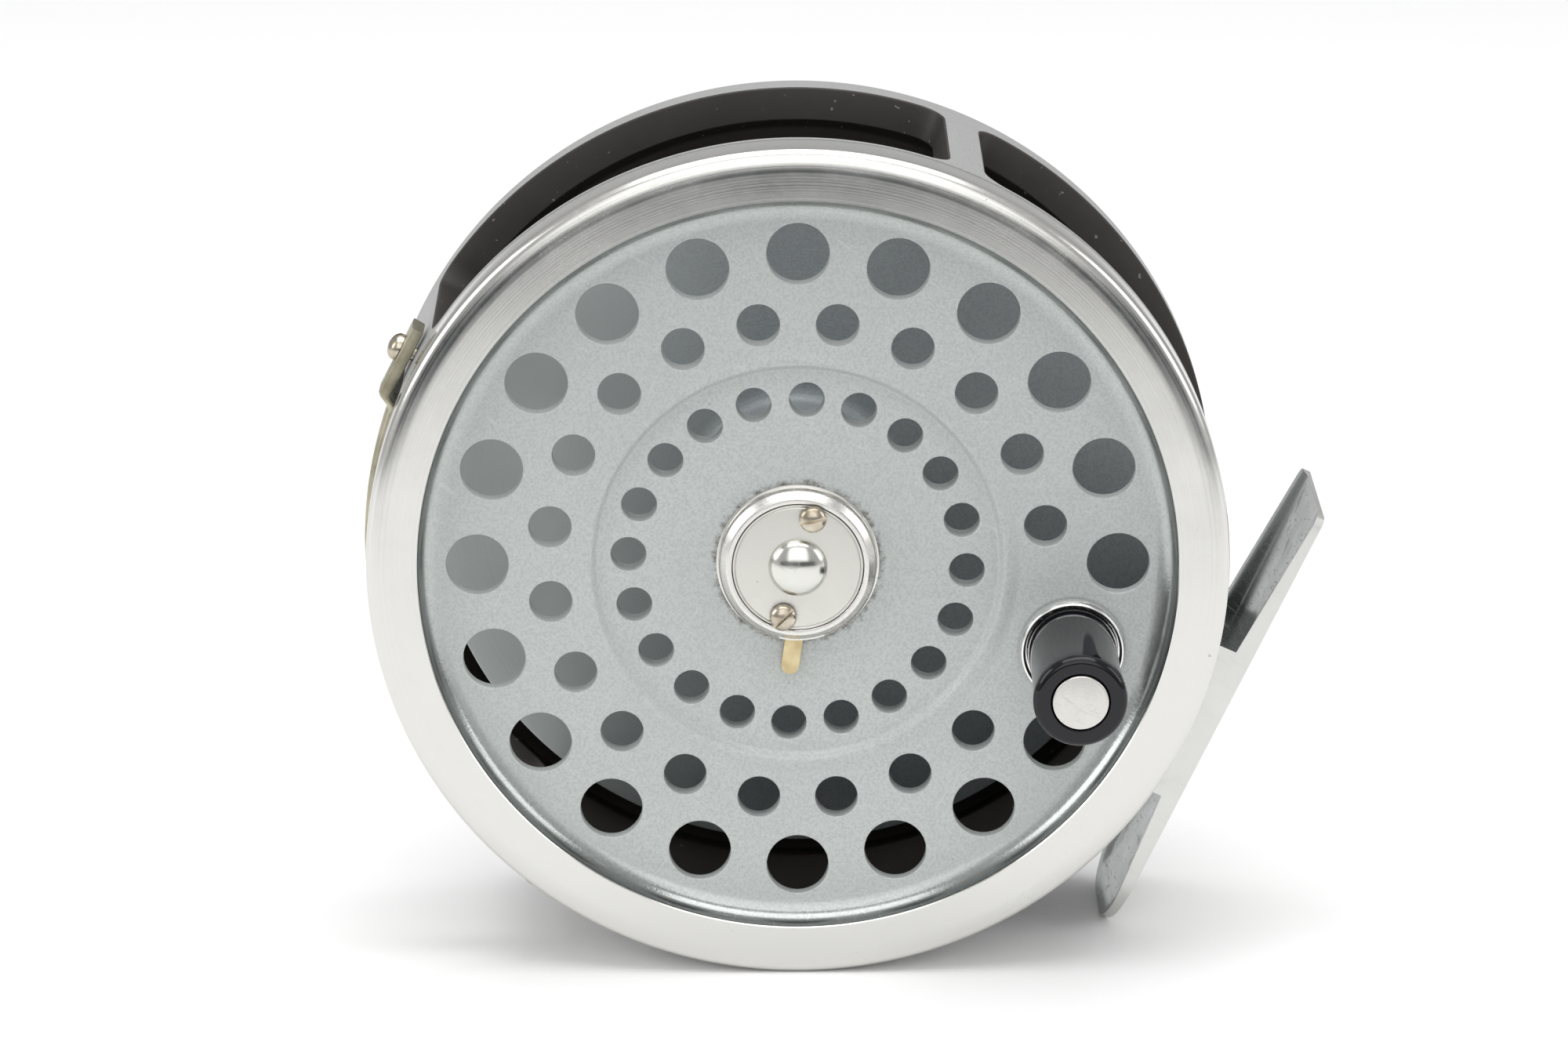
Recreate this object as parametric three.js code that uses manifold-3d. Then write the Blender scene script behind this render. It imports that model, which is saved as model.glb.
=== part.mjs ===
// Fly reel with a perforated spool, an overhanging palming rim and a click check.
//
// Millimetres, +Z up. The spool axis runs along Y: the crank handle faces -Y and the
// back plate faces +Y. Everything is drawn about the spool axis, with y = 0 on the
// outer face of the spool's front flange, and the whole reel is then stood on its rim
// and on the lower tip of its foot. Angles in the XZ plane run from +X towards +Z.

import * as THREE from 'three';
import { mergeVertices } from 'three/addons/utils/BufferGeometryUtils.js';
import Module from 'manifold-3d';

const wasm = await Module();
wasm.setup();

// ---------------------------------------------------------------- driving dimensions

// Clearances
const seat_gap = 0.3; // between pieces that rest on each other or sit in a hole
const running_gap = 0.3; // between a turning piece and its bearing
const sweep_gap = 0.4; // between the rim skirt and the frame's front ring

// Rim, the polished ring round the front flange
const rim_radius = 46;
const rim_front = -2.5;
const rim_back = 2.4;
const rim_land_width = 5.5;
const rim_edge_radius = 1.1;
const skirt_thickness = 1.4;
const fillet_width = 2.7;

// Front flange
const flange_thickness = 1.4;
const flange_thickness_middle = 2.2;
const flange_thickness_hub = 3.2;
const dish_margin = 2; // between the inner ring's holes and the step of the dish
const dish_depth = 0.57;
const dish_run = 1.2;

// Lightening holes, three rings of them; the handle takes the place of three
const ring_count = 20;
const outer_hole = 3.35;
const middle_hole = 2.3;
const inner_hole = 1.9;
const outer_hole_margin = 0.25; // from the outer holes to the groove of the rim
const inner_hole_margin = 5.2; // from the drum to the inner holes

// Drum and rear flange
const drum_radius = 11;
const drum_fillet = 2;
const rear_flange_face = 24.3;
const rear_flange_thickness = 1.3;
const rear_flange_gap = 2; // round the rear flange, inside the frame

// Hub boss, cap and release latch
const boss_height = 1.8;
const hub_recess_radius = 7.05;
const boss_top_radius = hub_recess_radius + 0.55;
const boss_base_radius = hub_recess_radius + 1.35;
const cap_thickness = 0.6;
const dome_radius = 3.15;
const dome_height = 1.5;
const dome_wall = 0.6;
const cap_screw_radius = hub_recess_radius - 1.35;
const cap_screw_angle = 74;
const cap_screw_head = 1.45;
const cap_screw_shank = 0.65;
const latch_thickness = 0.65;
const latch_tab_width = 1.9;
const latch_tab_radius = boss_base_radius + 3.9;
const latch_eye_radius = 1.6;
const latch_bite = 0.25;
const latch_swing = 8;

// Spindle and its bushes
const spindle_radius = 2.5;
const spindle_tip_radius = spindle_radius - 0.5;
const spindle_groove_radius = spindle_tip_radius - 0.55;
const spindle_foot_radius = spindle_radius + 0.5;
const spindle_collar_radius = spindle_radius + 2.5;
const bush_wall = 1.3;
const bush_length = 7;

// Crank handle
const handle_inset = 3.3; // inwards from the outer ring of holes
const handle_angle = -18;
const knob_length = 16.6;
const knob_radius = 4.8;
const knob_front_radius = knob_radius + 0.17;
const knob_pin_head = knob_radius - 1.85;
const knob_pin_shank = knob_radius - 2.8;
const ferrule_radius = knob_radius + 0.95;
const ferrule_lip = knob_radius + 0.4;
const ferrule_height = 1.3;

// Frame, as deep as the spool and the click check need
const frame_back = rear_flange_face + 5.8;
const frame_wall = 3.6;
const plate_thickness = 2;
const plate_edge_radius = 0.9;
const pan_rise = 1.2;
const pan_margin = 7.35; // outside the pivot that lies furthest out
const front_ring_thickness = 1.7;
const front_ring_reach = 0.5;
const window_front = 3.4;
const window_back = frame_back - 4.4;
const window_corner = 2.6;
const window_spans = [
  [69.7, 147.5],
  [-10, 64.4],
  [156.5, 229.5],
];

// Foot, whose lower tip stands on the same plane as the rim
const foot_distance = rim_radius + 4.9;
const foot_up = 26;
const foot_down = 26.8;
const foot_front = frame_back - 20.6;
const foot_back = frame_back - 1.5;
const foot_tip_thickness = 0.9;
const foot_root_thickness = 2;
const foot_block_up = 8.4;
const foot_block_down = 9.9;
const foot_floor = 0.55;
const foot_side_wall = 1.6;
const foot_end_lip = 2.2;
const foot_end_radius = 6;
const foot_corner_radius = 1;
const foot_screw_spacing = 10;

// Line guard, across the window below the upper rear pillar
const guard_front = 6;
const guard_width = 4;
const guard_tab_thickness = 1.4;
const guard_bar_radius = rim_radius + 0.6;
const guard_bar_thickness = 2.2;
const guard_tab_end = 3.1; // from each screw outwards, to the end of the guard
const guard_tab_run = 4.9; // from each screw inwards, to the start of the bar
const guard_tab_angles = [152.8, 233];

// Click check, on the inner side of the back plate
const gear_teeth = 24;
const gear_overhang = 2; // outside the drum that carries it
const gear_tooth_depth = 1.4;
const gear_thickness = 2.3;
const gear_screw_inset = 2; // inwards from the drum's radius
const gear_ring_width = 2.5; // from the gear's bore to its screws
const gear_screw_count = 3;
const check_thickness = 1.8;
const pawl_pivot_side = -10.5;
const pawl_pivot_rise = 0.8; // above the top of the gear
const pawl_boss_radius = 2.8;
const pawl_bore = 1.5;
const pawl_parked = 14;
const arm_pivot_side = 10.5;
const arm_pivot_rise = 6.5; // above the top of the gear
const arm_travel = 11;
const leaf_thickness = 0.5;
const leaf_parked = 16;
const cam_offset = 5.5; // beyond the side of the gear
const cam_height = 9.2;
const cam_radius = 3.3;
const knob_travel = 240;
const nose_radius = 0.9;

// Regulator knob on the back
const regulator_radius = 6;
const regulator_height = 3.6;
const regulator_ribs = 18;

// ---------------------------------------------------------------- derived places

const land_inner = rim_radius - rim_land_width;
const groove_inner = land_inner - fillet_width;
const outer_ring = {
  radius: groove_inner - outer_hole_margin - outer_hole, hole: outer_hole, start: 90, skip: [6],
};
const inner_ring = {
  radius: drum_radius + inner_hole_margin + inner_hole, hole: inner_hole, start: 87, skip: [],
};
const dish_radius = inner_ring.radius + inner_hole + dish_margin;
// The middle ring lies midway between the step of the dish and the outer holes
const middle_ring = {
  radius: (dish_radius + dish_run / 2 + outer_ring.radius - outer_hole) / 2,
  hole: middle_hole,
  start: 99,
  skip: [5, 6],
};
const handle_radius = outer_ring.radius - handle_inset;
const gear_radius = drum_radius + gear_overhang;
const gear_screw_circle = drum_radius - gear_screw_inset;
const gear_bore = gear_screw_circle - gear_ring_width;
const pawl_pivot = [pawl_pivot_side, gear_radius + pawl_pivot_rise];
const arm_pivot = [arm_pivot_side, gear_radius + arm_pivot_rise];
const cam_centre = [gear_radius + cam_offset, cam_height];
const pan_radius = Math.hypot(...arm_pivot) + pan_margin;
const dish_face = dish_depth;
const boss_front = dish_face - boss_height;
const cap_back = boss_front + cap_thickness;
const channel_front = rim_front + 1.6;
const skirt_inner = rim_radius - skirt_thickness;
const front_ring_outer = skirt_inner - sweep_gap - 0.1;
const frame_inner = rim_radius - frame_wall;
const rear_flange_radius = frame_inner - rear_flange_gap;
const channel_inner = frame_inner - sweep_gap - 0.1;
const frame_front = rim_back + sweep_gap;
const rear_flange_back = rear_flange_face + rear_flange_thickness;
const plate_inner = frame_back - plate_thickness;
const pan_back = frame_back + pan_rise;
const pan_inner = pan_back - plate_thickness;
const pan_inner_radius = pan_radius - 1;
const bush_bore = spindle_radius + running_gap;
const bush_radius = bush_bore + bush_wall;
const spool_bore = bush_radius + running_gap;
const gear_front = rear_flange_back + seat_gap;
const gear_back = gear_front + gear_thickness;
const check_front = gear_front + 0.3;
const check_back = check_front + check_thickness;
const foot_width = foot_back - foot_front;
const foot_middle = foot_front + foot_width / 2;

// The foot leans below the horizontal until its lower tip is level with the rim
const tip_distance = Math.hypot(foot_distance, foot_down);
const foot_angle = Math.atan2(foot_down, foot_distance) - Math.asin(rim_radius / tip_distance);

// ---------------------------------------------------------------- solid helpers

const degrees = (angle) => (angle * Math.PI) / 180;

const polar = (radius, angle) => [
  radius * Math.cos(degrees(angle)),
  radius * Math.sin(degrees(angle)),
];

// Points of an arc about (cx, cy), both ends included
function arc(cx, cy, radius, from, to, steps) {
  const points = [];
  for (let i = 0; i <= steps; i++) {
    const [x, y] = polar(radius, from + ((to - from) * i) / steps);
    points.push([cx + x, cy + y]);
  }
  return points;
}

// A closed three.js geometry becomes a solid: shared vertices are merged, triangles
// that vanish at a pole are dropped, and an inside-out mesh is turned round.
function solid(geometry) {
  const bare = geometry.clone();
  bare.deleteAttribute('normal');
  bare.deleteAttribute('uv');
  const merged = mergeVertices(bare, 1e-5);
  const place = merged.attributes.position;
  const corners = Array.from(merged.index.array);
  const triangles = [];
  let volume = 0;
  const a = new THREE.Vector3();
  const b = new THREE.Vector3();
  const c = new THREE.Vector3();
  for (let i = 0; i < corners.length; i += 3) {
    const [p, q, r] = corners.slice(i, i + 3);
    if (p === q || q === r || r === p) continue;
    triangles.push([p, q, r]);
    a.fromBufferAttribute(place, p);
    b.fromBufferAttribute(place, q);
    c.fromBufferAttribute(place, r);
    volume += a.dot(b.cross(c));
  }
  const outward = volume < 0 ? triangles.map(([p, q, r]) => [p, r, q]) : triangles;
  const vertProperties = new Float32Array(place.array);
  const triVerts = new Uint32Array(outward.flat());
  return new wasm.Manifold(new wasm.Mesh({ numProp: 3, vertProperties, triVerts }));
}

// A solid becomes a three.js geometry again
function geometryOf(body) {
  const mesh = body.getMesh();
  const geometry = new THREE.BufferGeometry();
  geometry.setAttribute('position', new THREE.Float32BufferAttribute(mesh.vertProperties, 3));
  geometry.setIndex(Array.from(mesh.triVerts));
  return geometry;
}

// A profile of [radius, y] points turned about the spool axis
function revolve(profile, segments = 72) {
  const points = profile.map(([radius, y]) => new THREE.Vector2(radius, y));
  return solid(new THREE.LatheGeometry(points, segments));
}

// A ring profile that closes on itself
const revolveRing = (profile, segments) => revolve([...profile, profile[0]], segments);

// An outline in the XZ plane, with optional holes, made solid from one y to another
function plate(outline, from, to, holes = []) {
  const shape = new THREE.Shape(outline.map(([x, z]) => new THREE.Vector2(x, z)));
  for (const hole of holes) {
    shape.holes.push(new THREE.Path(hole.map(([x, z]) => new THREE.Vector2(x, z))));
  }
  const geometry = new THREE.ExtrudeGeometry(shape, { depth: to - from, bevelEnabled: false });
  geometry.rotateX(Math.PI / 2);
  geometry.translate(0, to, 0);
  return solid(geometry);
}

const circle = (cx, cz, radius, steps) => arc(cx, cz, radius, 0, 360, steps).slice(0, steps);

// A round bar along Y
function barY(radius, from, to, x = 0, z = 0, segments = 20) {
  const geometry = new THREE.CylinderGeometry(radius, radius, to - from, segments);
  geometry.translate(x, (from + to) / 2, z);
  return solid(geometry);
}

// A turned piece along Y at a place of its own; its profile points are [radius, y]
function turnedY(profile, [x, z], segments = 16) {
  const points = profile.map(([radius, y]) => new THREE.Vector2(radius, y));
  const geometry = new THREE.LatheGeometry(points, segments);
  geometry.translate(x, 0, z);
  return solid(geometry);
}

// A turned piece whose own axis runs along a direction in the XZ plane; its profile
// points are [radius, distance out along that direction]
function turnedAlong(profile, angle, offset, y, segments = 20) {
  const points = profile.map(([radius, out]) => new THREE.Vector2(radius, out));
  const geometry = new THREE.LatheGeometry(points, segments);
  geometry.rotateZ(-Math.PI / 2);
  geometry.translate(0, 0, offset);
  geometry.rotateY(-degrees(angle));
  geometry.translate(0, y, 0);
  return solid(geometry);
}

// A domed screw with a shank, drawn along Y with its head towards -Y
function screwY(head, rise, shank, seat, end, x, z) {
  const crown = arc(0, seat, head, -90, 0, 4).map(([r, y]) => [r, seat + (y - seat) * (rise / head)]);
  return turnedY([...crown, [shank, seat], [shank, end], [0, end]], [x, z]);
}

// A straight slot across a screw head
function slotY(length, width, from, to, x, z, angle) {
  const geometry = new THREE.BoxGeometry(length, to - from, width);
  geometry.rotateY(-degrees(angle));
  geometry.translate(x, (from + to) / 2, z);
  return solid(geometry);
}

// Turn an outline about a point of the XZ plane, positive from +X towards +Z
function turned(outline, [cx, cz], angle) {
  const c = Math.cos(degrees(angle));
  const s = Math.sin(degrees(angle));
  return outline.map(([x, z]) => [
    cx + (x - cx) * c - (z - cz) * s,
    cz + (x - cx) * s + (z - cz) * c,
  ]);
}

const reel = new THREE.Group();

function add(name, body, colour, roughness, metalness) {
  const material = new THREE.MeshStandardMaterial({ color: colour, roughness, metalness });
  const mesh = new THREE.Mesh(geometryOf(body), material);
  mesh.name = name;
  reel.add(mesh);
}

// Finishes: [colour, roughness, metalness]
const enamel = [0xb4b8b6, 0.45, 0.2];
const bright = [0xdcdcda, 0.25, 1];
const steel = [0xa8a6a2, 0.35, 1];
const nickel = [0xa39a84, 0.35, 1];
const brass = [0xcdb982, 0.4, 1];
const black = [0x101012, 0.15, 0];

// ---------------------------------------------------------------- spool

// Front flange, rim, drum and rear flange are one turned piece
function spoolBlank() {
  const land_outer = rim_radius - rim_edge_radius;
  const groove = arc(0, rim_front, -rim_front, 90, 0, 4)
    .map(([r, y]) => [groove_inner + r * (fillet_width / -rim_front), y]);
  const profile = [
    [spool_bore, dish_face],
    [hub_recess_radius, dish_face],
    [hub_recess_radius, boss_front],
    [boss_top_radius, boss_front],
    [boss_base_radius, boss_front + (boss_base_radius - boss_top_radius)],
    [boss_base_radius, dish_face],
    [dish_radius - dish_run / 2, dish_face],
    [dish_radius, dish_face / 2],
    [dish_radius + dish_run / 2, 0],
    ...groove,
    ...arc(land_outer, rim_front + rim_edge_radius, rim_edge_radius, -90, 0, 3),
    [rim_radius, rim_back],
    [skirt_inner, rim_back],
    [skirt_inner, channel_front],
    [channel_inner, channel_front],
    [channel_inner, flange_thickness],
    [outer_ring.radius + outer_ring.hole + 0.5, flange_thickness],
    [middle_ring.radius, flange_thickness_middle],
    [inner_ring.radius, flange_thickness_hub],
    ...arc(drum_radius + drum_fillet, flange_thickness_hub + drum_fillet, drum_fillet, 270, 180, 2),
    ...arc(drum_radius + drum_fillet, rear_flange_face - drum_fillet, drum_fillet, 180, 90, 2),
    [rear_flange_radius, rear_flange_face],
    [rear_flange_radius, rear_flange_back],
    [spool_bore, rear_flange_back],
  ];
  return revolveRing(profile, 60);
}

// One ring of through holes, with the places that the handle takes left out
function holeRing({ radius, hole, start, skip }, sides) {
  const holes = [];
  for (let i = 0; i < ring_count; i++) {
    if (skip.includes(i)) continue;
    const [x, z] = polar(radius, start - (i * 360) / ring_count);
    holes.push(barY(hole, -1, flange_thickness_hub + 1, x, z, sides));
  }
  return holes;
}

const handle_centre = polar(handle_radius, handle_angle);
const cap_screw_places = [0, 180].map((turn) => polar(cap_screw_radius, cap_screw_angle + turn));
const gear_screw_places = [];
for (let i = 0; i < gear_screw_count; i++) {
  gear_screw_places.push(polar(gear_screw_circle, 30 + (i * 360) / gear_screw_count));
}

// The latch tab points from its pivot screw past the spindle to the far side
const latch_pivot = cap_screw_places[0];
const latch_aim = polar(latch_tab_radius, -94.5);
const latch_run = [latch_aim[0] - latch_pivot[0], latch_aim[1] - latch_pivot[1]];
const latch_angle = (Math.atan2(latch_run[1], latch_run[0]) * 180) / Math.PI;
const latch_length = Math.hypot(...latch_run);

function spool() {
  let body = spoolBlank();
  const cutters = [
    ...holeRing(outer_ring, 14),
    ...holeRing(middle_ring, 12),
    ...holeRing(inner_ring, 10),
    barY(knob_pin_shank + seat_gap, -1, flange_thickness_hub + 1, ...handle_centre, 16),
  ];
  for (const [x, z] of cap_screw_places) {
    cutters.push(barY(cap_screw_shank + seat_gap, dish_face - 0.2, flange_thickness_hub + 0.4, x, z, 12));
  }
  for (const [x, z] of gear_screw_places) {
    cutters.push(barY(0.8 + seat_gap, rear_flange_back - 4.5, rear_flange_back + 1, x, z, 12));
  }
  // Pocket in the boss wall for the lever's eye
  cutters.push(barY(latch_eye_radius + seat_gap, cap_back + 0.05, dish_face, ...latch_pivot, 16));
  // Slot through the boss wall for the tab, with room for its swing
  const room = latch_tab_width / 2 + seat_gap;
  const reach = latch_length - 1;
  const slot = [
    [latch_pivot[0] + 8, latch_pivot[1] - room],
    [latch_pivot[0] + reach, latch_pivot[1] - room],
    ...turned([[latch_pivot[0] + reach, latch_pivot[1] + room]], latch_pivot, latch_swing),
    ...turned([[latch_pivot[0] + 8, latch_pivot[1] + room]], latch_pivot, latch_swing),
  ];
  const slot_outline = turned(slot, latch_pivot, latch_angle);
  cutters.push(plate(slot_outline, cap_back + 0.05, dish_face));
  for (const cutter of cutters) body = body.subtract(cutter);
  return body;
}

add('spool', spool(), ...enamel);

// ---------------------------------------------------------------- hub cap and latch

function latchCap() {
  const inner = hub_recess_radius - seat_gap;
  const crown = arc(0, boss_front, dome_radius, -90, 0, 5)
    .map(([r, y]) => [r, boss_front + ((y - boss_front) * dome_height) / dome_radius]);
  const hollow_radius = dome_radius - dome_wall;
  const hollow_rise = dome_height - dome_wall;
  const hollow = arc(0, boss_front, hollow_radius, 0, -90, 4)
    .map(([r, y]) => [r, boss_front + ((y - boss_front) * hollow_rise) / hollow_radius]);
  const profile = [
    ...crown,
    [inner, boss_front],
    [inner, cap_back],
    [hollow_radius, cap_back],
    ...hollow,
  ];
  let body = revolve(profile, 32);
  for (const [x, z] of cap_screw_places) {
    body = body.subtract(barY(cap_screw_shank + seat_gap, boss_front - 1, cap_back + 1, x, z, 12));
  }
  return body;
}

add('latch_cap', latchCap(), ...bright);

cap_screw_places.forEach(([x, z], index) => {
  const seat = boss_front - seat_gap;
  const body = screwY(cap_screw_head, 0.95, cap_screw_shank, seat, flange_thickness_hub, x, z)
    .subtract(slotY(4, 0.45, seat - 1.5, seat - 0.5, x, z, index ? 42 : 14));
  add(`cap_screw_${index + 1}`, body, ...nickel);
});

// Flat brass lever: pivot eye, a ring round the spindle that bites into its groove
// from the right, a notch that clears the second cap screw, and the tab that the
// thumb pushes
const latch_back = cap_back + 0.2 + latch_thickness;
const catch_radius = spindle_tip_radius + 0.45;
const catch_centre = [spindle_tip_radius - latch_bite - catch_radius, 0];

function latchLever() {
  const half = latch_tab_width / 2;
  const [px, pz] = latch_pivot;
  const along = latch_length - half;
  const tab = turned([
    [px + 1, pz - half],
    [px + along, pz - half],
    ...arc(px + along, pz, half, -90, 90, 6).slice(1, -1),
    [px + along, pz + half],
    [px + 1, pz + half],
  ], latch_pivot, latch_angle);
  const front = latch_back - latch_thickness;
  return barY(latch_eye_radius, front, latch_back, px, pz, 16)
    .add(barY(catch_radius + 1.2, front, latch_back, ...catch_centre, 24))
    .add(plate(tab, front, latch_back))
    .subtract(barY(cap_screw_shank + running_gap, front - 1, latch_back + 1, px, pz, 12))
    .subtract(barY(catch_radius, front - 1, latch_back + 1, ...catch_centre, 24))
    .subtract(barY(cap_screw_shank + running_gap, front - 1, latch_back + 1, ...cap_screw_places[1], 12));
}

add('latch_lever', latchLever(), ...brass);

// Round wire spring that lies round the right of the recess and pushes the lever home
function latchSpring() {
  const wire = 0.25;
  const bend = hub_recess_radius - seat_gap - wire - 0.1;
  const route = arc(0, 0, bend, 40, -54, 10).map(([x, z]) => new THREE.Vector3(x, 0, z));
  const path = new THREE.CatmullRomCurve3(route);
  const section = new THREE.Shape(circle(0, 0, wire, 8).map(([x, y]) => new THREE.Vector2(x, y)));
  const geometry = new THREE.ExtrudeGeometry(section, { steps: 20, extrudePath: path });
  geometry.translate(0, latch_back - latch_thickness / 2, 0);
  return solid(geometry);
}

add('latch_spring', latchSpring(), ...steel);

// ---------------------------------------------------------------- spindle and bushes

function spindle() {
  const collar_front = pan_inner - seat_gap - 0.7;
  const land = latch_back + 0.2;
  const tip = boss_front - 0.4;
  return revolve([
    [0, tip],
    [spindle_tip_radius - 0.5, tip],
    [spindle_tip_radius, tip + 0.5],
    [spindle_tip_radius, latch_back - latch_thickness - 0.2],
    [spindle_groove_radius, latch_back - latch_thickness - 0.1],
    [spindle_groove_radius, land],
    [spindle_tip_radius, land + 0.1],
    [spindle_tip_radius, dish_face + 0.9],
    [spindle_radius, dish_face + 1.2],
    [spindle_radius, collar_front],
    [spindle_collar_radius, collar_front],
    [spindle_collar_radius, pan_inner - seat_gap],
    [spindle_foot_radius, pan_inner - seat_gap],
    [spindle_foot_radius, pan_back + 1.8],
    [0, pan_back + 1.8],
  ], 24);
}

add('spindle', spindle(), ...steel);

const bush_starts = [dish_face + 0.3, rear_flange_back - bush_length];
['front_bush', 'rear_bush'].forEach((name, index) => {
  const from = bush_starts[index];
  const bore = bush_bore;
  const to = from + bush_length;
  const sleeve = revolveRing([[bore, from], [bush_radius, from], [bush_radius, to], [bore, to]], 24);
  add(name, sleeve, ...brass);
});

function spindleNut() {
  const from = pan_back + seat_gap;
  const bore = spindle_foot_radius + seat_gap;
  const ring = revolveRing([
    [bore, from],
    [5.4, from],
    [5.4, from + 1.4],
    [4.9, from + 1.9],
    [bore, from + 1.9],
  ], 36);
  return ring
    .subtract(slotY(14, 0.9, from + 1.2, from + 3, 0, 0, 0));
}

add('spindle_nut', spindleNut(), ...steel);

// ---------------------------------------------------------------- crank handle

const alongHandle = (profile) => turnedY(profile, handle_centre, 24);

const ferrule_back = -seat_gap;
const ferrule_front = ferrule_back - ferrule_height;
const ferrule_floor = ferrule_front + 0.7;
const knob_back = ferrule_floor - running_gap;
const knob_front = knob_back - knob_length;
const pin_seat = knob_front + 1.3;

function ferrule() {
  const bore = knob_pin_shank + seat_gap;
  return alongHandle([
    [bore, ferrule_back],
    [bore, ferrule_floor],
    [ferrule_lip, ferrule_floor],
    [ferrule_lip, ferrule_front],
    [ferrule_lip + 0.25, ferrule_front],
    [ferrule_radius, ferrule_front + 0.5],
    [ferrule_radius, ferrule_back],
    [bore, ferrule_back],
  ]);
}

function handleKnob() {
  const bore = knob_pin_shank + running_gap;
  const round = 0.7;
  const edge = knob_front_radius - round;
  return alongHandle([
    [bore, knob_back],
    [knob_radius - 0.3, knob_back],
    [knob_radius, knob_back - 0.3],
    [knob_radius - 0.12, (knob_back + knob_front) / 2],
    ...arc(edge, knob_front + round, round, 0, -90, 4),
    [knob_pin_head + running_gap, knob_front],
    [knob_pin_head + running_gap, pin_seat],
    [bore, pin_seat],
    [bore, knob_back],
  ]);
}

function handlePin() {
  const head_back = pin_seat - running_gap;
  const tail = flange_thickness_middle + 0.5;
  return alongHandle([
    [0, knob_front - 0.15],
    [knob_pin_head - 0.15, knob_front - 0.15],
    [knob_pin_head, knob_front],
    [knob_pin_head, head_back],
    [knob_pin_shank, head_back],
    [knob_pin_shank, tail],
    [0, tail],
  ]);
}

add('handle_ferrule', ferrule(), ...bright);
add('handle_knob', handleKnob(), ...black);
add('handle_pin', handlePin(), ...bright);

// ---------------------------------------------------------------- frame

// A wedge of the frame wall between two angles and two y values
function wedge(from, to, front, back) {
  const steps = Math.max(2, Math.ceil((to - from) / 6));
  const outline = [
    ...arc(0, 0, rim_radius + 8, from, to, steps),
    ...arc(0, 0, frame_inner - 4, to, from, steps),
  ];
  return plate(outline, front, back);
}

// A window with rounded corners: two wedges and four tapered corner plugs
function windowCutter([from, to]) {
  const corner = (window_corner / rim_radius) * (180 / Math.PI);
  let cutter = wedge(from + corner, to - corner, window_front, window_back);
  cutter = cutter.add(wedge(from, to, window_front + window_corner, window_back - window_corner));
  const near = frame_inner - 4;
  const far = rim_radius + 8;
  const taper = window_corner / rim_radius;
  for (const angle of [from + corner, to - corner]) {
    for (const y of [window_front + window_corner, window_back - window_corner]) {
      const plug = [[0, near], [near * taper, near], [far * taper, far], [0, far]];
      cutter = cutter.add(turnedAlong(plug, angle, 0, y, 24));
    }
  }
  return cutter;
}

function frameBlank() {
  const edge = plate_edge_radius;
  const profile = [
    [spindle_foot_radius + seat_gap, pan_inner],
    [pan_inner_radius, pan_inner],
    [pan_inner_radius + 1, plate_inner],
    [frame_inner - 1.2, plate_inner],
    [frame_inner, plate_inner - 1.2],
    [frame_inner, -front_ring_reach],
    [frame_inner + front_ring_thickness, -front_ring_reach],
    [front_ring_outer, frame_front],
    [rim_radius, frame_front],
    ...arc(rim_radius - edge, frame_back - edge, edge, 0, 90, 3),
    [pan_radius + 1.4, frame_back],
    [pan_radius, pan_back - 0.3],
    [pan_radius - 0.5, pan_back],
    [spindle_foot_radius + seat_gap, pan_back],
  ];
  return revolveRing(profile, 72);
}

// Places on the back plate: two pawl pivots, the arm pivot and the parked leaf's block
const opposite = ([x, z]) => [-x, -z];
const parked_block = opposite(arm_pivot);
const post_places = {
  pawl_post: pawl_pivot,
  spare_pawl_post: opposite(pawl_pivot),
  arm_post: arm_pivot,
  spare_spring_post: parked_block,
};
const post_radius = pawl_bore - running_gap;
const guard_screw_y = guard_front + guard_width / 2;
const foot_degrees = (foot_angle * 180) / Math.PI;

function frame() {
  let body = frameBlank();
  for (const span of window_spans) body = body.subtract(windowCutter(span));
  for (const [x, z] of Object.values(post_places)) {
    body = body.subtract(barY(post_radius + seat_gap, pan_inner - 1, pan_back + 1, x, z, 16));
  }
  body = body.subtract(barY(1.6 + running_gap, pan_inner - 1, pan_back + 1, ...cam_centre, 16));
  for (const angle of guard_tab_angles) {
    const hole = [[0, frame_inner - 2], [1.1, frame_inner - 2], [1.1, rim_radius + 2], [0, rim_radius + 2]];
    body = body.subtract(turnedAlong(hole, angle, 0, guard_screw_y, 12));
  }
  for (const side of [-0.5, 0.5]) {
    const hole = [
      [0, frame_inner - 2],
      [2.3, frame_inner - 2],
      [2.3, frame_inner + 1.5],
      [1.3, frame_inner + 2.2],
      [1.3, rim_radius + 2],
      [0, rim_radius + 2],
    ];
    body = body.subtract(turnedAlong(hole, foot_degrees, side * foot_screw_spacing, foot_middle, 16));
  }
  return body;
}

add('frame', frame(), ...enamel);

// ---------------------------------------------------------------- foot

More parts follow.
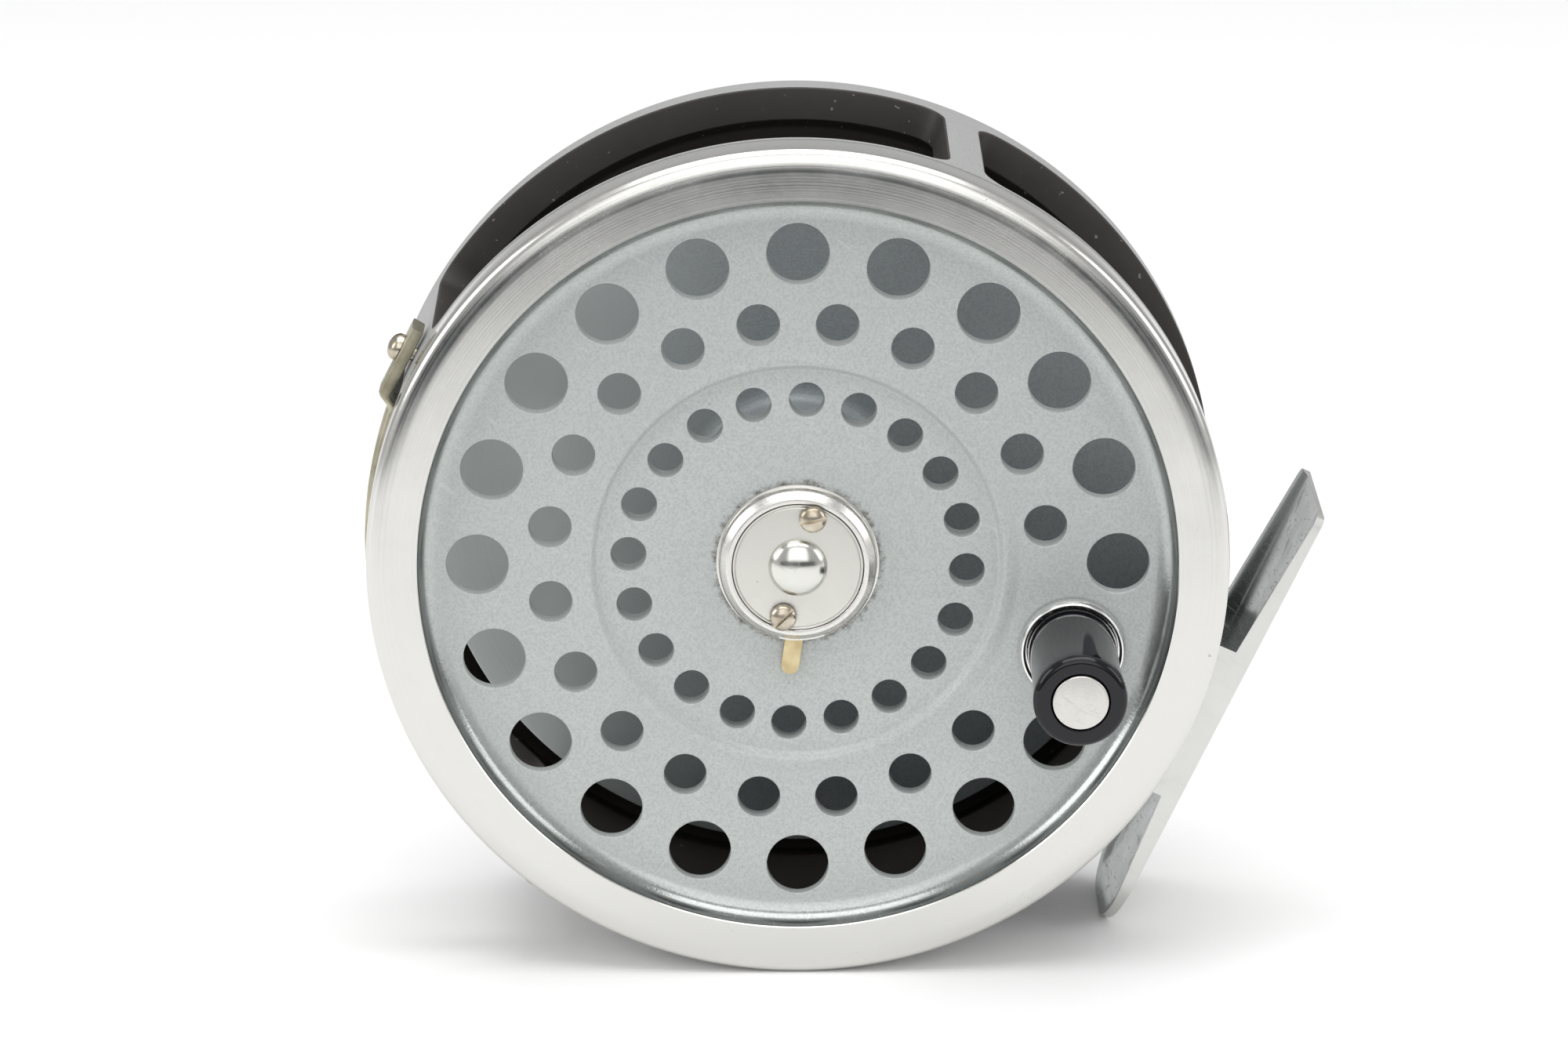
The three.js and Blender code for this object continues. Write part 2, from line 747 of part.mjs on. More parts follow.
// Drawn as if its outer face were square to +X, with lengths along +Z, then turned
function foot() {
  const outer = foot_distance;
  const tip = outer - foot_tip_thickness;
  const root = outer - foot_root_thickness;
  const side = plate([
    [outer, foot_up],
    [tip, foot_up],
    [root, foot_block_up],
    [frame_inner, foot_block_up],
    [frame_inner, -foot_block_down],
    [root, -foot_block_down],
    [tip, -foot_down],
    [outer, -foot_down],
  ], foot_front, foot_back);
  // Plan outline in (z, y): square upper end, rounded lower end
  const small = foot_corner_radius;
  const large = foot_end_radius;
  const outline = [
    ...arc(foot_front + large, -foot_down + large, large, 180, 270, 6),
    ...arc(foot_back - large, -foot_down + large, large, 270, 360, 6),
    ...arc(foot_back - small, foot_up - small, small, 0, 90, 3),
    ...arc(foot_front + small, foot_up - small, small, 90, 180, 3),
  ];
  const shape = new THREE.Shape(outline.map(([y, z]) => new THREE.Vector2(y, z)));
  const plan = new THREE.ExtrudeGeometry(shape, { depth: 20, bevelEnabled: false });
  plan.applyMatrix4(new THREE.Matrix4().set(0, 0, 1, frame_inner - 5, 1, 0, 0, 0, 0, 1, 0, 0, 0, 0, 0, 1));
  let body = side.intersect(solid(plan));
  // The seat that fits round the frame
  body = body.subtract(barY(rim_radius + seat_gap, foot_front - 1, foot_back + 1, 0, 0, 120));
  // A milled hollow along each wing, with sloping sides
  body = body.subtract(wingHollow(foot_block_up, foot_up + 1));
  body = body.subtract(wingHollow(-foot_block_down, -foot_down + foot_end_lip));
  // Blind holes for the two screws
  for (const offset of [-0.5, 0.5]) {
    const hole = [[0, frame_inner], [1.3, frame_inner], [1.3, outer - 1.2], [0, outer - 1.2]];
    body = body.subtract(turnedAlong(hole, 0, offset * foot_screw_spacing, foot_middle, 16));
  }
  return body.rotate([0, -foot_degrees, 0]);
}

// The hollow from the block to the tip: its floor keeps foot_floor of metal
function wingHollow(start, end) {
  const front = foot_front + 0.4;
  const back = foot_back - foot_side_wall;
  const floor_x = foot_distance - foot_floor;
  const rise = foot_root_thickness + 1;
  const section = [
    [front + 3.2, floor_x],
    [back - 2.2, floor_x],
    [back + 0.3, floor_x - rise * 0.5],
    [back + 0.3, floor_x - rise],
    [front, floor_x - rise],
    [front, floor_x - foot_root_thickness * 0.45],
  ];
  const shape = new THREE.Shape(section.map(([y, x]) => new THREE.Vector2(y, x)));
  const geometry = new THREE.ExtrudeGeometry(shape, { depth: Math.abs(end - start), bevelEnabled: false });
  const low = Math.min(start, end);
  geometry.applyMatrix4(new THREE.Matrix4().set(0, 1, 0, 0, 1, 0, 0, 0, 0, 0, 1, low, 0, 0, 0, 1));
  return solid(geometry);
}

add('reel_foot', foot(), ...bright);

[-0.5, 0.5].forEach((side, index) => {
  const seat = frame_inner + 1.5;
  const profile = [
    [0, frame_inner + 0.2],
    [2, frame_inner + 0.2],
    [2, seat - 0.3],
    [1, seat + 0.5],
    [1, foot_distance - 1.6],
    [0, foot_distance - 1.6],
  ];
  const body = turnedAlong(profile, foot_degrees, side * foot_screw_spacing, foot_middle, 16);
  add(`foot_screw_${index + 1}`, body, ...steel);
});

// ---------------------------------------------------------------- line guard

// Points of a straight tab, square to the direction of its screw
function tabLine(angle, distance, from, to) {
  return [from, to].map((along) => {
    const [nx, nz] = polar(1, angle);
    return [distance * nx - along * nz, distance * nz + along * nx];
  });
}

function lineGuard() {
  const [upper, lower] = guard_tab_angles;
  const seat = rim_radius + seat_gap;
  const top = seat + guard_tab_thickness;
  const inner = guard_bar_radius - guard_bar_thickness;
  const tab_turn = (Math.atan2(guard_tab_run, top) * 180) / Math.PI;
  const window_start = window_spans[2][0] + 2;
  const window_end = window_spans[2][1] - 2;
  const outline = [
    ...tabLine(upper, top, -guard_tab_end, guard_tab_run),
    ...arc(0, 0, guard_bar_radius, upper + tab_turn + 5, lower - tab_turn - 5, 14),
    ...tabLine(lower, top, -guard_tab_run, guard_tab_end),
    ...tabLine(lower, seat, guard_tab_end, 0.5 - guard_tab_run),
    ...arc(0, 0, inner, window_end - 2.5, window_start + 2.5, 14),
    ...tabLine(upper, seat, guard_tab_run - 0.5, -guard_tab_end),
  ];
  let body = plate(outline, guard_front, guard_front + guard_width);
  for (const angle of guard_tab_angles) {
    const hole = [[0, seat - 2], [1.1, seat - 2], [1.1, top + 2], [0, top + 2]];
    body = body.subtract(turnedAlong(hole, angle, 0, guard_screw_y, 12));
  }
  return body;
}

add('line_guard', lineGuard(), ...nickel);

guard_tab_angles.forEach((angle, index) => {
  const seat = rim_radius + 2 * seat_gap + guard_tab_thickness;
  const crown = arc(0, seat, 1.55, 0, 90, 4).map(([r, out]) => [r, seat + (out - seat) * 0.85]);
  const profile = [[0, frame_inner + 0.6], [0.8, frame_inner + 0.6], [0.8, seat], ...crown];
  const head = turnedAlong(profile, angle, 0, guard_screw_y, 16);
  const slot = new THREE.BoxGeometry(1, 0.45, 4);
  slot.translate(seat + 1.3, 0, 0);
  slot.rotateY(-degrees(angle));
  slot.translate(0, guard_screw_y, 0);
  add(`guard_screw_${index + 1}`, head.subtract(solid(slot)), ...nickel);
});

// ---------------------------------------------------------------- click check

const tooth_pitch = 360 / gear_teeth;
const gear_root = gear_radius - gear_tooth_depth;

// V-shaped gaps between flat-topped teeth, with one gap at the top
function ratchetGear() {
  const outline = [];
  for (let i = 0; i < gear_teeth; i++) {
    const gap = 90 + i * tooth_pitch;
    outline.push(polar(gear_radius, gap - tooth_pitch * 0.4));
    outline.push(polar(gear_root, gap - tooth_pitch * 0.06));
    outline.push(polar(gear_root, gap + tooth_pitch * 0.06));
    outline.push(polar(gear_radius, gap + tooth_pitch * 0.4));
  }
  const holes = [circle(0, 0, gear_bore, 36)];
  for (const [x, z] of gear_screw_places) holes.push(circle(x, z, 1.1, 12));
  return plate(outline, gear_front, gear_back, holes);
}

add('ratchet_gear', ratchetGear(), ...steel);

gear_screw_places.forEach((place, index) => {
  const seat = gear_back + seat_gap;
  const end = seat - 6;
  const profile = [[0, seat + 0.55], [1.7, seat + 0.55], [1.7, seat], [0.8, seat], [0.8, end], [0, end]];
  add(`gear_screw_${index + 1}`, turnedY(profile, place), ...steel);
});

// The pawl: an eye on its post and an arm over the gear with one pointed tooth.
// A spare one waits on the opposite side of the spindle, turned clear of the gear.
const pawl_tooth_tip = gear_root + 0.35;
const pawl_arm_bottom = gear_radius + 0.75;
const pawl_arm_top = pawl_arm_bottom + 2.3;
const stay = (point) => point;

function pawl(turn, side) {
  const [px, pz] = pawl_pivot;
  const arm = [
    [px, pz - pawl_boss_radius],
    [px + 3, pawl_arm_bottom + 0.4],
    [-1.45, pawl_arm_bottom],
    [-0.22, pawl_tooth_tip],
    [0.22, pawl_tooth_tip],
    [1.7, pawl_arm_bottom + 0.3],
    [1.9, pawl_arm_top - 0.5],
    [1.3, pawl_arm_top],
    [-6, pawl_arm_top + 0.1],
    [px, pz + pawl_boss_radius],
  ];
  const outline = turned(arm, pawl_pivot, turn).map(side);
  const eye = side(pawl_pivot);
  return barY(pawl_boss_radius, check_front, check_back, ...eye, 20)
    .add(plate(outline, check_front, check_back))
    .subtract(barY(pawl_bore, check_front - 1, check_back + 1, ...eye, 16));
}

add('check_pawl', pawl(0, stay), ...steel);
add('spare_pawl', pawl(pawl_parked, opposite), ...steel);

// Posts riveted into the back plate, with a shoulder that spaces the levers off it
for (const [name, place] of Object.entries(post_places)) {
  const body = turnedY([
    [0, check_front - 0.1],
    [post_radius - 0.2, check_front - 0.1],
    [post_radius, check_front + 0.1],
    [post_radius, check_back + seat_gap],
    [post_radius + 0.8, check_back + seat_gap],
    [post_radius + 0.8, pan_inner - seat_gap],
    [post_radius, pan_inner - seat_gap],
    [post_radius, pan_back + 0.1],
    [0, pan_back + 0.1],
  ], place, 14);
  add(name, body, ...steel);
}

// Each pawl has a leaf spring, clamped to an eye on a second post
const leaf_seat = pawl_arm_top + 0.35;
const leaf_root = [arm_pivot[0] - 4.2, arm_pivot[1] - 1.4];
const leaf_end = [-3.4, leaf_seat];
const clamp_radius = 2.7;

function leafClamp(turn, side) {
  const [px, pz] = arm_pivot;
  const [rx, rz] = leaf_root;
  const clamp = [
    [px, pz - 2.2],
    [rx - 0.4, rz + 0.55],
    [rx - 0.4, rz + 2.2],
    [px, pz + 2.4],
  ];
  const outline = turned(clamp, arm_pivot, turn).map(side);
  return barY(clamp_radius, check_front, check_back, ...side(arm_pivot), 20)
    .add(plate(outline, check_front, check_back));
}

// A flat strip from under the clamp to the pawl's back, with a curled end
function leafSpring(turn, side) {
  const [rx, rz] = leaf_root;
  const [ex, ez] = leaf_end;
  const upper = [
    [rx + 0.6, rz + 0.05],
    [(rx + ex) / 2 + 0.5, (rz + ez) / 2 + 0.55],
    [ex, ez + leaf_thickness],
    [ex - 1, ez + leaf_thickness + 0.45],
  ];
  const lower = upper.map(([x, z]) => [x, z - leaf_thickness]).reverse();
  const outline = turned([...upper, ...lower], arm_pivot, turn).map(side);
  return plate(outline, check_front + 0.1, check_back - 0.1);
}

const clampBore = (side) => barY(pawl_bore, check_front - 1, check_back + 1, ...side(arm_pivot), 16);

// The working clamp has a tail with a round nose that rides on the regulator's cam
const nose_start = [cam_centre[0], cam_centre[1] + cam_radius + running_gap + nose_radius];

function tensionArm() {
  const [px, pz] = arm_pivot;
  const [nx, nz] = nose_start;
  const tail_angle = (Math.atan2(nz - pz, nx - px) * 180) / Math.PI;
  const reach = Math.hypot(nx - px, nz - pz);
  const tail = turned([
    [px, pz - 1.9],
    [px + reach, pz - nose_radius],
    [px + reach, pz + nose_radius],
    [px, pz + 1.9],
  ], arm_pivot, tail_angle);
  return leafClamp(0, stay)
    .add(plate(tail, check_front, check_back))
    .add(barY(nose_radius, check_front, check_back, nx, nz, 16))
    .subtract(clampBore(stay));
}

add('tension_arm', tensionArm(), ...brass);
add('check_spring', leafSpring(0, stay), ...steel);
add('spare_spring', leafSpring(-leaf_parked, opposite), ...steel);
add('spare_spring_block', leafClamp(-leaf_parked, opposite).subtract(clampBore(opposite)), ...brass);

// The cam's edge follows the nose of the arm, so that equal turns of the knob give
// equal turns of the arm: each point is the nose centre seen from the turning cam
function camOutline() {
  const steps = 40;
  const lead = 20;
  const [cx, cz] = cam_centre;
  const outline = [];
  for (let i = 0; i <= steps; i++) {
    const turn = -lead + ((knob_travel + 2 * lead) * i) / steps;
    const arm = (arm_travel * turn) / knob_travel;
    const [[nx, nz]] = turned([nose_start], arm_pivot, -arm);
    const distance = Math.hypot(nx - cx, nz - cz) - nose_radius - running_gap;
    const bearing = (Math.atan2(nz - cz, nx - cx) * 180) / Math.PI + turn;
    const [x, z] = polar(distance, bearing);
    outline.push([cx + x, cz + z]);
  }
  return outline;
}

const shaft_radius = 1.6;

function regulatorCam() {
  return plate(camOutline(), check_front, check_back)
    .subtract(barY(shaft_radius, check_front - 1, check_back + 1, ...cam_centre, 20))
    .add(barY(shaft_radius + 0.1, check_front, check_back, ...cam_centre, 20))
    .subtract(barY(0.7 + seat_gap, check_front - 1, check_back + 1, ...cam_centre, 12));
}

add('regulator_cam', regulatorCam(), ...brass);

const knob_seat = pan_back + seat_gap + 0.3;
const knob_face = knob_seat + regulator_height;

function regulatorKnob() {
  const [cx, cz] = cam_centre;
  const outline = [];
  for (let i = 0; i < regulator_ribs; i++) {
    const angle = (i * 360) / regulator_ribs;
    const pitch = 360 / regulator_ribs;
    for (const [share, depth] of [[-0.3, 0], [0.3, 0], [0.42, 0.4], [0.58, 0.4]]) {
      const [x, z] = polar(regulator_radius - depth, angle + share * pitch);
      outline.push([cx + x, cz + z]);
    }
  }
  const stem = barY(shaft_radius, check_back + seat_gap, knob_seat + 1, cx, cz, 20);
  return plate(outline, knob_seat, knob_face - 0.5)
    .add(barY(regulator_radius - 0.9, knob_face - 0.6, knob_face, cx, cz, 36))
    .add(stem)
    .subtract(barY(0.7 + seat_gap, check_back - 1, knob_face + 1, cx, cz, 12))
    .subtract(barY(1.7, knob_face - 0.7, knob_face + 1, cx, cz, 20));
}

add('regulator_knob', regulatorKnob(), ...bright);

// One long screw clamps the cam to the knob's stem
function regulatorScrew() {
  const [cx, cz] = cam_centre;
  const head_front = knob_face - 0.4;
  const profile = [
    [0, check_front - 0.1],
    [0.7, check_front - 0.1],
    [0.7, head_front],
    [1.4, head_front],
    [1.4, knob_face + 0.1],
    [0, knob_face + 0.1],
  ];
  return turnedY(profile, cam_centre).subtract(slotY(4, 0.4, knob_face - 0.2, knob_face + 1, cx, cz, 25));
}

add('regulator_screw', regulatorScrew(), ...steel);

// ---------------------------------------------------------------- stand the reel up

// The origin is under the middle of the reel, on the surface that it stands on
const extent = new THREE.Box3().setFromObject(reel);
const middle = extent.getCenter(new THREE.Vector3());
reel.position.set(-middle.x, -middle.y, -extent.min.z);
reel.updateMatrixWorld(true);

export default reel;
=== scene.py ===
# %% [markdown]
# # A fly reel, finished around its CAD frame
#
# The CAD model already fixes where each piece of the reel is and how it moves. This lesson
# makes the surfaces that are seen: a perforated spool with a polished rim, a frame with
# three open windows, a foot, a line guard, a crank handle and the parts of the click check.
# Every shape here is a function of two numbers worked out on a grid with numpy, because a
# reel is mostly turned on a lathe, and a turned shape is a profile carried round an axis.

import math

import bmesh
import bpy
import numpy as np
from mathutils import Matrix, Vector


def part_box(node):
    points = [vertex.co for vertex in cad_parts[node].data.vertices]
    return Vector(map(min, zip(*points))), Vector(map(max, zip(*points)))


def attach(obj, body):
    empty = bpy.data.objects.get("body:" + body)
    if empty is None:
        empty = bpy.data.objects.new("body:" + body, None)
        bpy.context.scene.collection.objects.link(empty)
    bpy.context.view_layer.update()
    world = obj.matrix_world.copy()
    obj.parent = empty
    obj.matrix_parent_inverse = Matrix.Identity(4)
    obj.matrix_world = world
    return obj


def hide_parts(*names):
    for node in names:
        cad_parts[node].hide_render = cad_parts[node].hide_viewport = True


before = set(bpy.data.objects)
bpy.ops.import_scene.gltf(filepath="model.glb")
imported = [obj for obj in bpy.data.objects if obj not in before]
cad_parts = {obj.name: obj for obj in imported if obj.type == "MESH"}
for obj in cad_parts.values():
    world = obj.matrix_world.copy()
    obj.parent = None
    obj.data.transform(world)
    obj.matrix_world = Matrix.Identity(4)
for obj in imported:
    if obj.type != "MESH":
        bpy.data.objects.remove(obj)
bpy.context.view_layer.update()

# %% [markdown]
# ## Where things are
#
# The lesson draws in millimetres about the spool's own axis: X to the right, Y along the
# axis from the handle side to the back, Z up, and y = 0 on the outer face of the spool's
# front flange. The CAD's spool tells us where that axis is, so nothing has to be fitted.

# %% The spool axis and the sizes that the CAD gives
MM = 0.001


def box_mm(node):
    """The lowest and highest corners of a CAD node, in millimetres."""
    low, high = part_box(node)
    return np.array(low) / MM, np.array(high) / MM


spool_low, spool_high = box_mm("spool")
RIM_RADIUS = (spool_high[2] - spool_low[2]) / 2
RIM_DEPTH = 2.5
ORIGIN = np.array([
    (spool_low[0] + spool_high[0]) / 2,
    spool_low[1] + RIM_DEPTH,
    (spool_low[2] + spool_high[2]) / 2,
])
print("rim radius", round(RIM_RADIUS, 2), "axis at", np.round(ORIGIN, 2))


def about_axis(node):
    """The lowest and highest corners of a CAD node, measured from the spool axis."""
    low, high = box_mm(node)
    return low - ORIGIN, high - ORIGIN


def polar(radius, degrees):
    """x and z at that radius and angle, the angle running from +X towards +Z."""
    return radius * np.cos(np.radians(degrees)), radius * np.sin(np.radians(degrees))


# %% [markdown]
# ## From numbers to meshes
#
# A sheet is a grid of points. `faces_of` joins neighbouring points into four-sided faces.
# `make_piece` stacks several sheets into one mesh, merges the points that they share,
# turns every face outwards and gives the piece to the body that it moves with.

# %% Sheets and pieces
SHARP = math.radians(32)


def faces_of(rows, columns):
    """Corner numbers of the faces of a grid: (i, j), (i, j+1), (i+1, j+1), (i+1, j)."""
    i, j = np.meshgrid(np.arange(rows - 1), np.arange(columns - 1), indexing="ij")
    first = (i * columns + j).ravel()
    return np.stack([first, first + 1, first + columns + 1, first + columns], axis=1)


def make_piece(name, sheets, body, nodes=(), bevel=0.0, smooth=SHARP):
    """Sheets is a list of (grid of points in mm about the axis, material)."""
    points, faces, paints, materials = [], [], [], []
    start = 0
    for grid, material in sheets:
        rows, columns = grid.shape[:2]
        flat = grid.reshape(-1, 3)
        points.append(flat)
        corners = faces_of(rows, columns) + start
        faces.append(corners)
        start += len(flat)
        if material not in materials:
            materials.append(material)
        paints.append(np.full(len(corners), materials.index(material)))
    places = (np.concatenate(points) + ORIGIN) * MM
    mesh = bpy.data.meshes.new(name)
    mesh.from_pydata(places.tolist(), [], np.concatenate(faces).tolist())
    mesh.polygons.foreach_set("material_index", np.concatenate(paints).astype(np.int32))
    for material in materials:
        mesh.materials.append(material)
    return finish_piece(name, mesh, body, nodes, bevel, smooth)


def finish_piece(name, mesh, body, nodes, bevel, smooth):
    """Merge doubled points, face outwards, smooth, bevel, and hand over to a body."""
    work = bmesh.new()
    work.from_mesh(mesh)
    bmesh.ops.remove_doubles(work, verts=work.verts, dist=0.002 * MM)
    bmesh.ops.dissolve_degenerate(work, edges=work.edges, dist=0.0005 * MM)
    bmesh.ops.recalc_face_normals(work, faces=work.faces)
    if work.calc_volume(signed=True) < 0:
        bmesh.ops.reverse_faces(work, faces=work.faces)
    work.to_mesh(mesh)
    work.free()
    mesh.shade_smooth()
    mesh.set_sharp_from_angle(angle=smooth)
    piece = bpy.data.objects.new(name, mesh)
    bpy.context.collection.objects.link(piece)
    if bevel:
        edge = piece.modifiers.new("soft edges", "BEVEL")
        edge.width = bevel * MM
        edge.segments = 2
        edge.limit_method = "ANGLE"
        edge.angle_limit = SHARP
    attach(piece, body)
    if nodes:
        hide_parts(*nodes)
    print(name, len(mesh.polygons), "faces")
    return piece


# %% [markdown]
# ## Turned shapes
#
# A lathe profile is a list of corners (radius, y). Real corners are never sharp, so
# `soften` swaps each corner for a short curve before `turn` carries the profile round.

# %% Profiles and turning
FULL_TURN = np.arange(0, 361)


def soften(corners, size=0.15, steps=3):
    """Each inner corner B of A-B-C becomes the curve (1-t)^2 P + 2t(1-t) B + t^2 Q,
    where P and Q lie on the two sides, size away from B or 40% of the side's length."""
    corners = np.asarray(corners, float)
    sizes = np.broadcast_to(size, len(corners))
    t = np.linspace(0, 1, steps + 1)[:, None]
    parts = [corners[:1]]
    for a, b, c, reach in zip(corners[:-2], corners[1:-1], corners[2:], sizes[1:-1]):
        back, on = a - b, c - b
        back_length, on_length = np.hypot(*back), np.hypot(*on)
        p = b + back / back_length * min(reach, 0.4 * back_length)
        q = b + on / on_length * min(reach, 0.4 * on_length)
        parts.append((1 - t) ** 2 * p + 2 * t * (1 - t) * b + t ** 2 * q)
    parts.append(corners[-1:])
    return np.concatenate(parts)


def turn(profile, degrees=FULL_TURN, centre=(0.0, 0.0)):
    """Point (i, j) is the profile's i-th corner turned to the j-th angle:
    x = cx + r cos a, y = y, z = cz + r sin a."""
    profile = np.asarray(profile, float)
    radius, y = profile[:, :1], profile[:, 1:]
    angle = np.radians(np.asarray(degrees, float))[None, :]
    x = centre[0] + radius * np.cos(angle)
    z = centre[1] + radius * np.sin(angle)
    return np.stack([x, np.broadcast_to(y, x.shape), z], axis=2)


def cove(r_start, r_end, y_start, y_end, steps=10):
    """A quarter of an ellipse that leaves the face level and meets the land upright:
    r = r0 + (r1 - r0) sin a, y = y1 + (y0 - y1) cos a, for a from 0 to 90 degrees."""
    a = np.linspace(0, np.pi / 2, steps + 1)
    radius = r_start + (r_end - r_start) * np.sin(a)
    return np.stack([radius, y_end + (y_start - y_end) * np.cos(a)], axis=1)


# %% [markdown]
# ## Finishes
#
# The reel shows only a few finishes: satin grey enamel, polished and plain aluminium,
# steel, nickel silver, brass, black resin and the dark inside of the frame. What makes
# them read as real are the same few effects at different strengths: rings left by the
# lathe, fine scratches, a grain, and patches of dust or tarnish. Each effect is a node
# group with named inputs, built once and reused.

# %% Small helpers for node trees


def new_group(name, inputs, outputs):
    """A shader node group with float or vector inputs; outputs are all floats."""
    tree = bpy.data.node_groups.new(name, "ShaderNodeTree")
    for label, kind, value in inputs:
        socket = tree.interface.new_socket(label, in_out="INPUT", socket_type=kind)
        if value is not None:
            socket.default_value = value
    for label in outputs:
        tree.interface.new_socket(label, in_out="OUTPUT", socket_type="NodeSocketFloat")
    return tree, tree.nodes.new("NodeGroupInput"), tree.nodes.new("NodeGroupOutput")


def maths(tree, operation, a, b=None, c=None):
    """One Math node; each value is a number or another node's output."""
    node = tree.nodes.new("ShaderNodeMath")
    node.operation = operation
    for index, value in enumerate((a, b, c)):
        if value is None:
            continue
        if isinstance(value, (int, float)):
            node.inputs[index].default_value = value
        else:
            tree.links.new(value, node.inputs[index])
    return node.outputs[0]


def noise(tree, vector, scale, detail=3.0, rough=0.55, dimensions="3D"):
    """A Noise Texture's value; in 1D the vector is the number that it runs along."""
    node = tree.nodes.new("ShaderNodeTexNoise")
    node.noise_dimensions = dimensions
    node.inputs["Detail"].default_value = detail
    node.inputs["Roughness"].default_value = rough
    tree.links.new(vector, node.inputs["W" if dimensions == "1D" else "Vector"])
    if isinstance(scale, (int, float)):
        node.inputs["Scale"].default_value = scale
    else:
        tree.links.new(scale, node.inputs["Scale"])
    return node.outputs[0]


def ramp(tree, value, low, high, to_low=0.0, to_high=1.0):
    """Map Range, held at its ends."""
    node = tree.nodes.new("ShaderNodeMapRange")
    node.inputs["From Min"].default_value = low
    node.inputs["From Max"].default_value = high
    node.inputs["To Min"].default_value = to_low
    node.inputs["To Max"].default_value = to_high
    tree.links.new(value, node.inputs["Value"])
    return node.outputs["Result"]


def mapping(tree, vector, scale, turned=(0.0, 0.0, 0.0), moved=(0.0, 0.0, 0.0), kind="POINT"):
    """A Mapping node's vector; kind TEXTURE turns first and then divides by the scale."""
    node = tree.nodes.new("ShaderNodeMapping")
    node.vector_type = kind
    node.inputs["Scale"].default_value = scale
    node.inputs["Rotation"].default_value = turned
    node.inputs["Location"].default_value = moved
    tree.links.new(vector, node.inputs["Vector"])
    return node.outputs["Vector"]


# %% [markdown]
# ### Effect: distance from an axis along Y
#
# Many marks on a turned piece depend only on how far a point is from the axis. Object
# coordinates are used, because they stay with the piece when it spins.

# %% Effect: distance from an axis along Y


def make_axis_distance():
    """r = sqrt(x^2 + z^2) of a vector that is already centred on the axis."""
    inputs = [("Vector", "NodeSocketVector", None)]
    tree, given, out = new_group("Axis distance", inputs, ["Radius"])
    parts = tree.nodes.new("ShaderNodeSeparateXYZ")
    tree.links.new(given.outputs["Vector"], parts.inputs[0])
    xx = maths(tree, "MULTIPLY", parts.outputs["X"], parts.outputs["X"])
    zz = maths(tree, "MULTIPLY", parts.outputs["Z"], parts.outputs["Z"])
    tree.links.new(maths(tree, "SQRT", maths(tree, "ADD", xx, zz)), out.inputs["Radius"])
    return tree


AXIS_DISTANCE = make_axis_distance()

# %% [markdown]
# ### Effect: rings left by the lathe
#
# A lathe tool leaves fine circles. Noise in one dimension, read along the radius, gives
# rings of uneven depth, which a wave texture would make too regular.

# %% Effect: rings left by the lathe


def make_lathe_rings():
    """Rings = noise of the radius alone, broken up a little by noise of the place."""
    inputs = [
        ("Vector", "NodeSocketVector", None),
        ("Rings per metre", "NodeSocketFloat", 6000.0),
        ("Breaks", "NodeSocketFloat", 0.3),
    ]
    tree, given, out = new_group("Lathe rings", inputs, ["Height", "Shine"])
    away = tree.nodes.new("ShaderNodeGroup")
    away.node_tree = AXIS_DISTANCE
    tree.links.new(given.outputs["Vector"], away.inputs["Vector"])
    count = given.outputs["Rings per metre"]
    rings = noise(tree, away.outputs["Radius"], count, detail=4.0, rough=0.7, dimensions="1D")
    place = noise(tree, given.outputs["Vector"], 900.0, detail=3.0)
    broken = maths(tree, "MULTIPLY", maths(tree, "SUBTRACT", place, 0.5), given.outputs["Breaks"])
    height = maths(tree, "ADD", rings, broken)
    tree.links.new(height, out.inputs["Height"])
    tree.links.new(ramp(tree, height, 0.35, 0.65), out.inputs["Shine"])
    return tree


LATHE_RINGS = make_lathe_rings()

# %% [markdown]
# ### Effect: fine scratches
#
# Handling leaves hairlines in a few directions. Noise squeezed in one direction and
# stretched in the others makes streaks, and a threshold keeps only their peaks.

# %% Effect: fine scratches


def make_scratches():
    """Noise stretched to thin streaks in three directions, kept only at its peaks."""
    inputs = [
        ("Vector", "NodeSocketVector", None),
        ("Threshold", "NodeSocketFloat", 0.66),
    ]
    tree, given, out = new_group("Fine scratches", inputs, ["Mask"])
    total = None
    for turned, size in (
        ((0.2, 0.5, 0.1), (0.00020, 0.002, 0.0050)),
        ((0.1, -0.9, 0.3), (0.00026, 0.002, 0.0065)),
        ((0.3, 1.9, -0.2), (0.00022, 0.002, 0.0040)),
    ):
        place = mapping(tree, given.outputs["Vector"], size, turned, kind="TEXTURE")
        streaks = noise(tree, place, 1.0, detail=1.0)
        over = maths(tree, "SUBTRACT", streaks, given.outputs["Threshold"])
        line = ramp(tree, over, 0.0, 0.05)
        total = line if total is None else maths(tree, "MAXIMUM", total, line)
    tree.links.new(total, out.inputs["Mask"])
    return tree


SCRATCHES = make_scratches()

# %% [markdown]
# ### Effect: grain and patches
#
# Paint has a fine orange-peel grain, broad clouds where it is rubbed or greasy, and rare
# specks. Three scales of one noise give all of them.

# %% Effect: grain and patches


